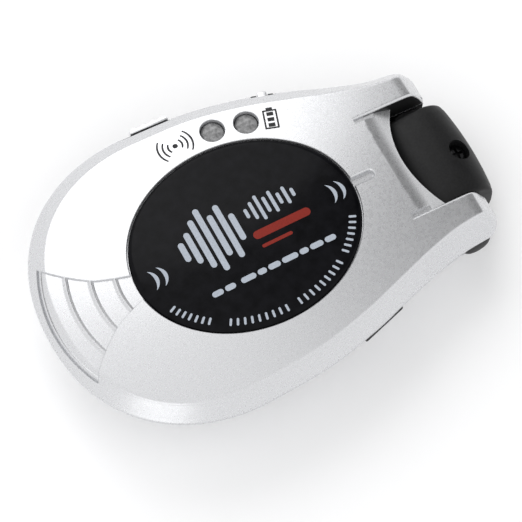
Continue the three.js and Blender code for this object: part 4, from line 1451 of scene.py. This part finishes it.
class GUITARUNIT_OT_knuckle(bpy.types.Operator):
    """Build the black knuckle in its two halves, with its screw"""
    bl_idname = "guitar_unit.knuckle"
    bl_label = "Knuckle"

    def execute(self, context):
        boss_x = COLLAR_END_X + GAP
        rear = block("rear", (-40, -0.06), (-20, 20), (-20, 20), split_frame())
        base = keep_inside(knuckle_barrel("knuckle_rear"), rear)
        fuse(base, rod("boss", "x", (boss_x, HINGE_X - 1), (0, PLUG_Z), 4.3, 64))
        cut(base, rod("shank_bore", "x", (10, HINGE_X - 2.0), (0, PLUG_Z), 2.9),
            rod("collar_room", "x", (20, boss_x), (0, PLUG_Z), 4.4, 64),
            rod("screw_pilot", "x", (-10.2, 1), (0, 0), 0.95, 24, screw_frame()), *hinge_hollows())
        finish_piece(base, "knuckle", "black_plastic", black_plastic(), "knuckle_base")
        front = block("front", (0.06, 40), (-20, 20), (-20, 20), split_frame())
        cover = keep_inside(knuckle_barrel("knuckle_front"), front)
        cut(cover, rod("boss_room", "x", (20, HINGE_X - 0.7), (0, PLUG_Z), 4.6, 64))
        well = [(-2.7, 0), (-2.7, 1.95), (4, 1.95), (4, 0)]
        cut(cover, lathe("screw_well", well, 56, screw_frame()),
            rod("screw_hole", "x", (-12, 0), (0, 0), 0.95, 24, screw_frame()), *hinge_hollows())
        finish_piece(cover, "knuckle", "black_plastic", black_plastic(), "knuckle_cover")
        head = [(-9.5, 0), (-9.5, 0.75), (-2.5, 0.75), (-2.5, 1.6), (-1.85, 1.6), (-1.6, 1.5), (-1.42, 1.2),
                (-1.35, 0.7), (-1.33, 0)]
        screw = lathe("knuckle_cross_screw", head, 40, screw_frame())
        cut(screw, *cross_cutters((-2.1, 1), 1.1, 0.24, screw_frame(), "x"))
        finish_piece(screw, "knuckle", "steel", dark_screw_steel(), "knuckle_screw")
        return {"FINISHED"}


def cross_cutters(span, reach, half, turn, axis):
    """Two crossed bars for a screw's drive recess."""
    wide, thin = (-reach, reach), (-half, half)
    if axis == "x":
        return [block("drive", span, wide, thin, turn), block("drive", span, thin, wide, turn)]
    return [block("drive", wide, thin, span, turn), block("drive", thin, wide, span, turn)]


class GUITARUNIT_OT_jack_plug(bpy.types.Operator):
    """Build the jack plug's sleeve, insulator and tip"""
    bl_idname = "guitar_unit.jack_plug"
    bl_label = "Jack Plug"

    def execute(self, context):
        way = Matrix.Translation((0, 0, PLUG_Z))
        end = SHOULDER_X - 30.8
        ring = end + 9.2
        sleeve = ring + 1.5
        profile = [(sleeve, 0), (sleeve, PLUG_R - 0.1), (sleeve + 0.1, PLUG_R), (SHOULDER_X, PLUG_R),
                   (SHOULDER_X, 3.95), (SHOULDER_X + 0.15, 4.1), (COLLAR_END_X - 0.15, 4.1),
                   (COLLAR_END_X, 3.95), (COLLAR_END_X, 2.6), (HINGE_X - 2.3, 2.6), (HINGE_X - 2.3, 0)]
        barrel = lathe("jack_sleeve", profile, 64, way)
        finish_piece(barrel, "knuckle", "nickel", nickel_plate(), "plug_sleeve")
        profile = [(ring + 0.15, 0), (ring + 0.15, 2.95), (ring + 1.2, 2.95), (ring + 1.2, 0)]
        finish_piece(lathe("jack_insulator", profile, 48, way), "knuckle", "black_plastic", black_plastic(),
                     "plug_insulator")
        curve = [(0, 0), (0.03, 0.3), (0.14, 0.65), (0.35, 1.0), (0.75, 1.4), (1.3, 1.8), (2.4, 2.3),
                 (3.6, 2.78), (4.3, 3.0), (4.7, 3.05), (5.1, 2.95), (5.5, 2.7), (5.95, 2.4), (6.5, 2.2),
                 (7.1, 2.16), (7.6, 2.3), (8.0, 2.65), (8.3, 3.0), (8.55, 3.12), (8.8, PLUG_R),
                 (9.05, PLUG_R), (9.05, 0)]
        tip = lathe("jack_tip", [(end + x, r) for x, r in curve], 64, way)
        finish_piece(tip, "knuckle", "nickel", nickel_plate(), "plug_tip", angle=50)
        return {"FINISHED"}


class GUITARUNIT_OT_hinge_caps(bpy.types.Operator):
    """Build the domed caps over the hinge pins"""
    bl_idname = "guitar_unit.hinge_caps"
    bl_label = "Hinge Caps"

    def execute(self, context):
        profile = [(14.1, 0), (14.1, 1.75), (14.7, 1.75), (14.7, 2.7), (15.5, 2.7), (15.8, 2.66),
                   (16.05, 2.52), (16.27, 2.25), (16.42, 1.85), (16.5, 1.3), (16.55, 0.65), (16.57, 0)]
        for word, side in (("left", 0), ("right", 180)):
            flip = Matrix.Rotation(math.radians(side), 4, "Z")
            cap = lathe(f"hinge_dome_{word}", profile, 56, at_hinge(flip))
            finish_piece(cap, "housing", "black_plastic", black_plastic(), f"hinge_cap_{word}", angle=50)
        return {"FINISHED"}


class GUITARUNIT_OT_case_screws(bpy.types.Operator):
    """Build the four case screws, one shape copied to each well"""
    bl_idname = "guitar_unit.case_screws"
    bl_label = "Case Screws"

    def execute(self, context):
        upright = Matrix.Rotation(math.radians(-90), 4, "Y")
        profile = [(1.5, 0), (1.5, 1.35), (1.62, 1.52), (1.8, 1.6), (2.7, 1.6), (2.7, 0.55), (9.4, 0.55),
                   (9.5, 0.3), (9.5, 0)]
        for i, (x, y) in enumerate(POST_PLACES):
            place = Matrix.Translation((x, y, 0))
            screw = lathe(f"case_cross_screw_{i + 1}", profile, 40, place @ upright)
            cut(screw, *cross_cutters((0.5, 2.1), 0.95, 0.2, place, "z"))
            finish_piece(screw, "housing", "steel", bright_steel(), f"case_screw_{i + 1}")
        return {"FINISHED"}


class GUITARUNIT_OT_inside_finishes(bpy.types.Operator):
    """Give the board, the battery, the leads and the other inner parts their finishes"""
    bl_idname = "guitar_unit.inside_finishes"
    bl_label = "Inside Finishes"

    def execute(self, context):
        slots = {row["node"]: row["material_slot"] for row in frame["record"]["subparts"]}
        for name, node in frame["nodes"].items():
            if not node.hide_render and slots[name] in INSIDE_FINISHES:
                dark = name.startswith("friction_washer")
                for place in node.material_slots:
                    place.material = dark_screw_steel() if dark else INSIDE_FINISHES[slots[name]]()
        return {"FINISHED"}


class GUITARUNIT_OT_studio(bpy.types.Operator):
    """Set up the pale floor, the soft light and the camera"""
    bl_idname = "guitar_unit.studio"
    bl_label = "Studio"

    def execute(self, context):
        stage = context.scene.guitar_unit_stage
        bpy.ops.mesh.primitive_plane_add(size=3)
        floor = context.object
        floor.name = "studio_floor"
        finish = Finish("studio_floor", roughness=0.9)
        finish.tint(finish.noise(0.01), stage.floor, dark=0.995, light=1.005)
        floor.data.materials.append(finish.material)
        self.light("key_light", KEY_PLACE, KEY_TARGET, 0.42, stage.key)
        self.light("side_light", SIDE_PLACE, (0.0, 0.0, 0.0), 0.4, stage.key * SIDE_SHARE)
        self.sky(context.scene, stage.sky)
        self.camera(context.scene, stage.lens)
        return {"FINISHED"}

    def light(self, name, place, target, size, power):
        bpy.ops.object.light_add(type="AREA", location=place)
        lamp = bpy.context.object
        lamp.name = name
        lamp.data.shape = "DISK"
        lamp.data.size = size
        lamp.data.energy = power
        lamp.rotation_euler = (Vector(target) - Vector(place)).to_track_quat("-Z", "Y").to_euler()

    def sky(self, scene, strength):
        """Light from all round, dimmer high up ahead of the nose, where the housing mirrors it as grey."""
        world = bpy.data.worlds.new("studio_sky")
        scene.world = world
        world.use_nodes = True
        nodes, links = world.node_tree.nodes, world.node_tree.links
        coordinates = nodes.new("ShaderNodeTexCoord")
        facing = nodes.new("ShaderNodeVectorMath")
        facing.operation = "DOT_PRODUCT"
        facing.inputs[1].default_value = Vector(SKY_DIM_WAY).normalized()
        ramp = nodes.new("ShaderNodeValToRGB")
        bright, dark = ramp.color_ramp.elements
        bright.position, dark.position = SKY_DIM_RANGE
        bright.color, dark.color = (1, 1, 1, 1), (0, 0, 0, 1)
        links.new(coordinates.outputs["Generated"], facing.inputs[0])
        links.new(facing.outputs["Value"], ramp.inputs["Fac"])
        links.new(ramp.outputs["Color"], nodes["Background"].inputs["Color"])
        nodes["Background"].inputs["Strength"].default_value = strength

    def camera(self, scene, lens):
        azimuth, elevation = math.radians(-28.1), math.radians(67)
        back = Vector((math.sin(azimuth) * math.cos(elevation), -math.cos(azimuth) * math.cos(elevation),
                       math.sin(elevation)))
        right = Vector((math.cos(azimuth), math.sin(azimuth), 0))
        up = back.cross(right)
        aim = Vector((-3.25, 0, 19)) + 2.6 * right - 4.65 * up
        camera = bpy.data.objects.new("camera", bpy.data.cameras.new("camera"))
        scene.collection.objects.link(camera)
        camera.location = (aim + 400 * back) * MM
        camera.rotation_euler = Matrix((right, up, back)).transposed().to_euler()
        camera.data.lens = lens
        camera.data.clip_start = 0.01
        scene.camera = camera
        scene.view_settings.view_transform = "Standard"


PIECE_OPERATORS = (
    GUITARUNIT_OT_upper_housing, GUITARUNIT_OT_lower_housing, GUITARUNIT_OT_label,
    GUITARUNIT_OT_housing_signs, GUITARUNIT_OT_indicators, GUITARUNIT_OT_gap_shade_blocks,
    GUITARUNIT_OT_power_switch, GUITARUNIT_OT_channel_button, GUITARUNIT_OT_charging_socket,
    GUITARUNIT_OT_knuckle, GUITARUNIT_OT_jack_plug, GUITARUNIT_OT_hinge_caps,
    GUITARUNIT_OT_case_screws, GUITARUNIT_OT_inside_finishes, GUITARUNIT_OT_studio,
)


class GUITARUNIT_PT_panel(bpy.types.Panel):
    """Lists the unit's settings and the operators that build it"""
    bl_idname = "GUITARUNIT_PT_panel"
    bl_label = "Guitar Unit"
    bl_space_type = "VIEW_3D"
    bl_region_type = "UI"
    bl_category = "Guitar Unit"

    def draw(self, context):
        for group in ("guitar_unit_sizes", "guitar_unit_finishes", "guitar_unit_stage"):
            settings = getattr(context.scene, group)
            column = self.layout.column(align=True)
            for name in settings.__annotations__:
                column.prop(settings, name)
        for operator in PIECE_OPERATORS:
            self.layout.operator(operator.bl_idname)


SETTINGS = {
    "guitar_unit_sizes": GuitarUnitSizes,
    "guitar_unit_finishes": GuitarUnitFinishes,
    "guitar_unit_stage": GuitarUnitStage,
}
CLASSES = (*SETTINGS.values(), *PIECE_OPERATORS, GUITARUNIT_PT_panel)


def register():
    for cls in CLASSES:
        bpy.utils.register_class(cls)
    for name, group in SETTINGS.items():
        setattr(bpy.types.Scene, name, PointerProperty(type=group))


def unregister():
    for name in SETTINGS:
        delattr(bpy.types.Scene, name)
    for cls in reversed(CLASSES):
        bpy.utils.unregister_class(cls)


def main():
    register()
    deselect_all()
    for operator in PIECE_OPERATORS:
        group, name = operator.bl_idname.split(".")
        getattr(getattr(bpy.ops, group), name)()
    deselect_all()


if __name__ == "__main__":
    main()
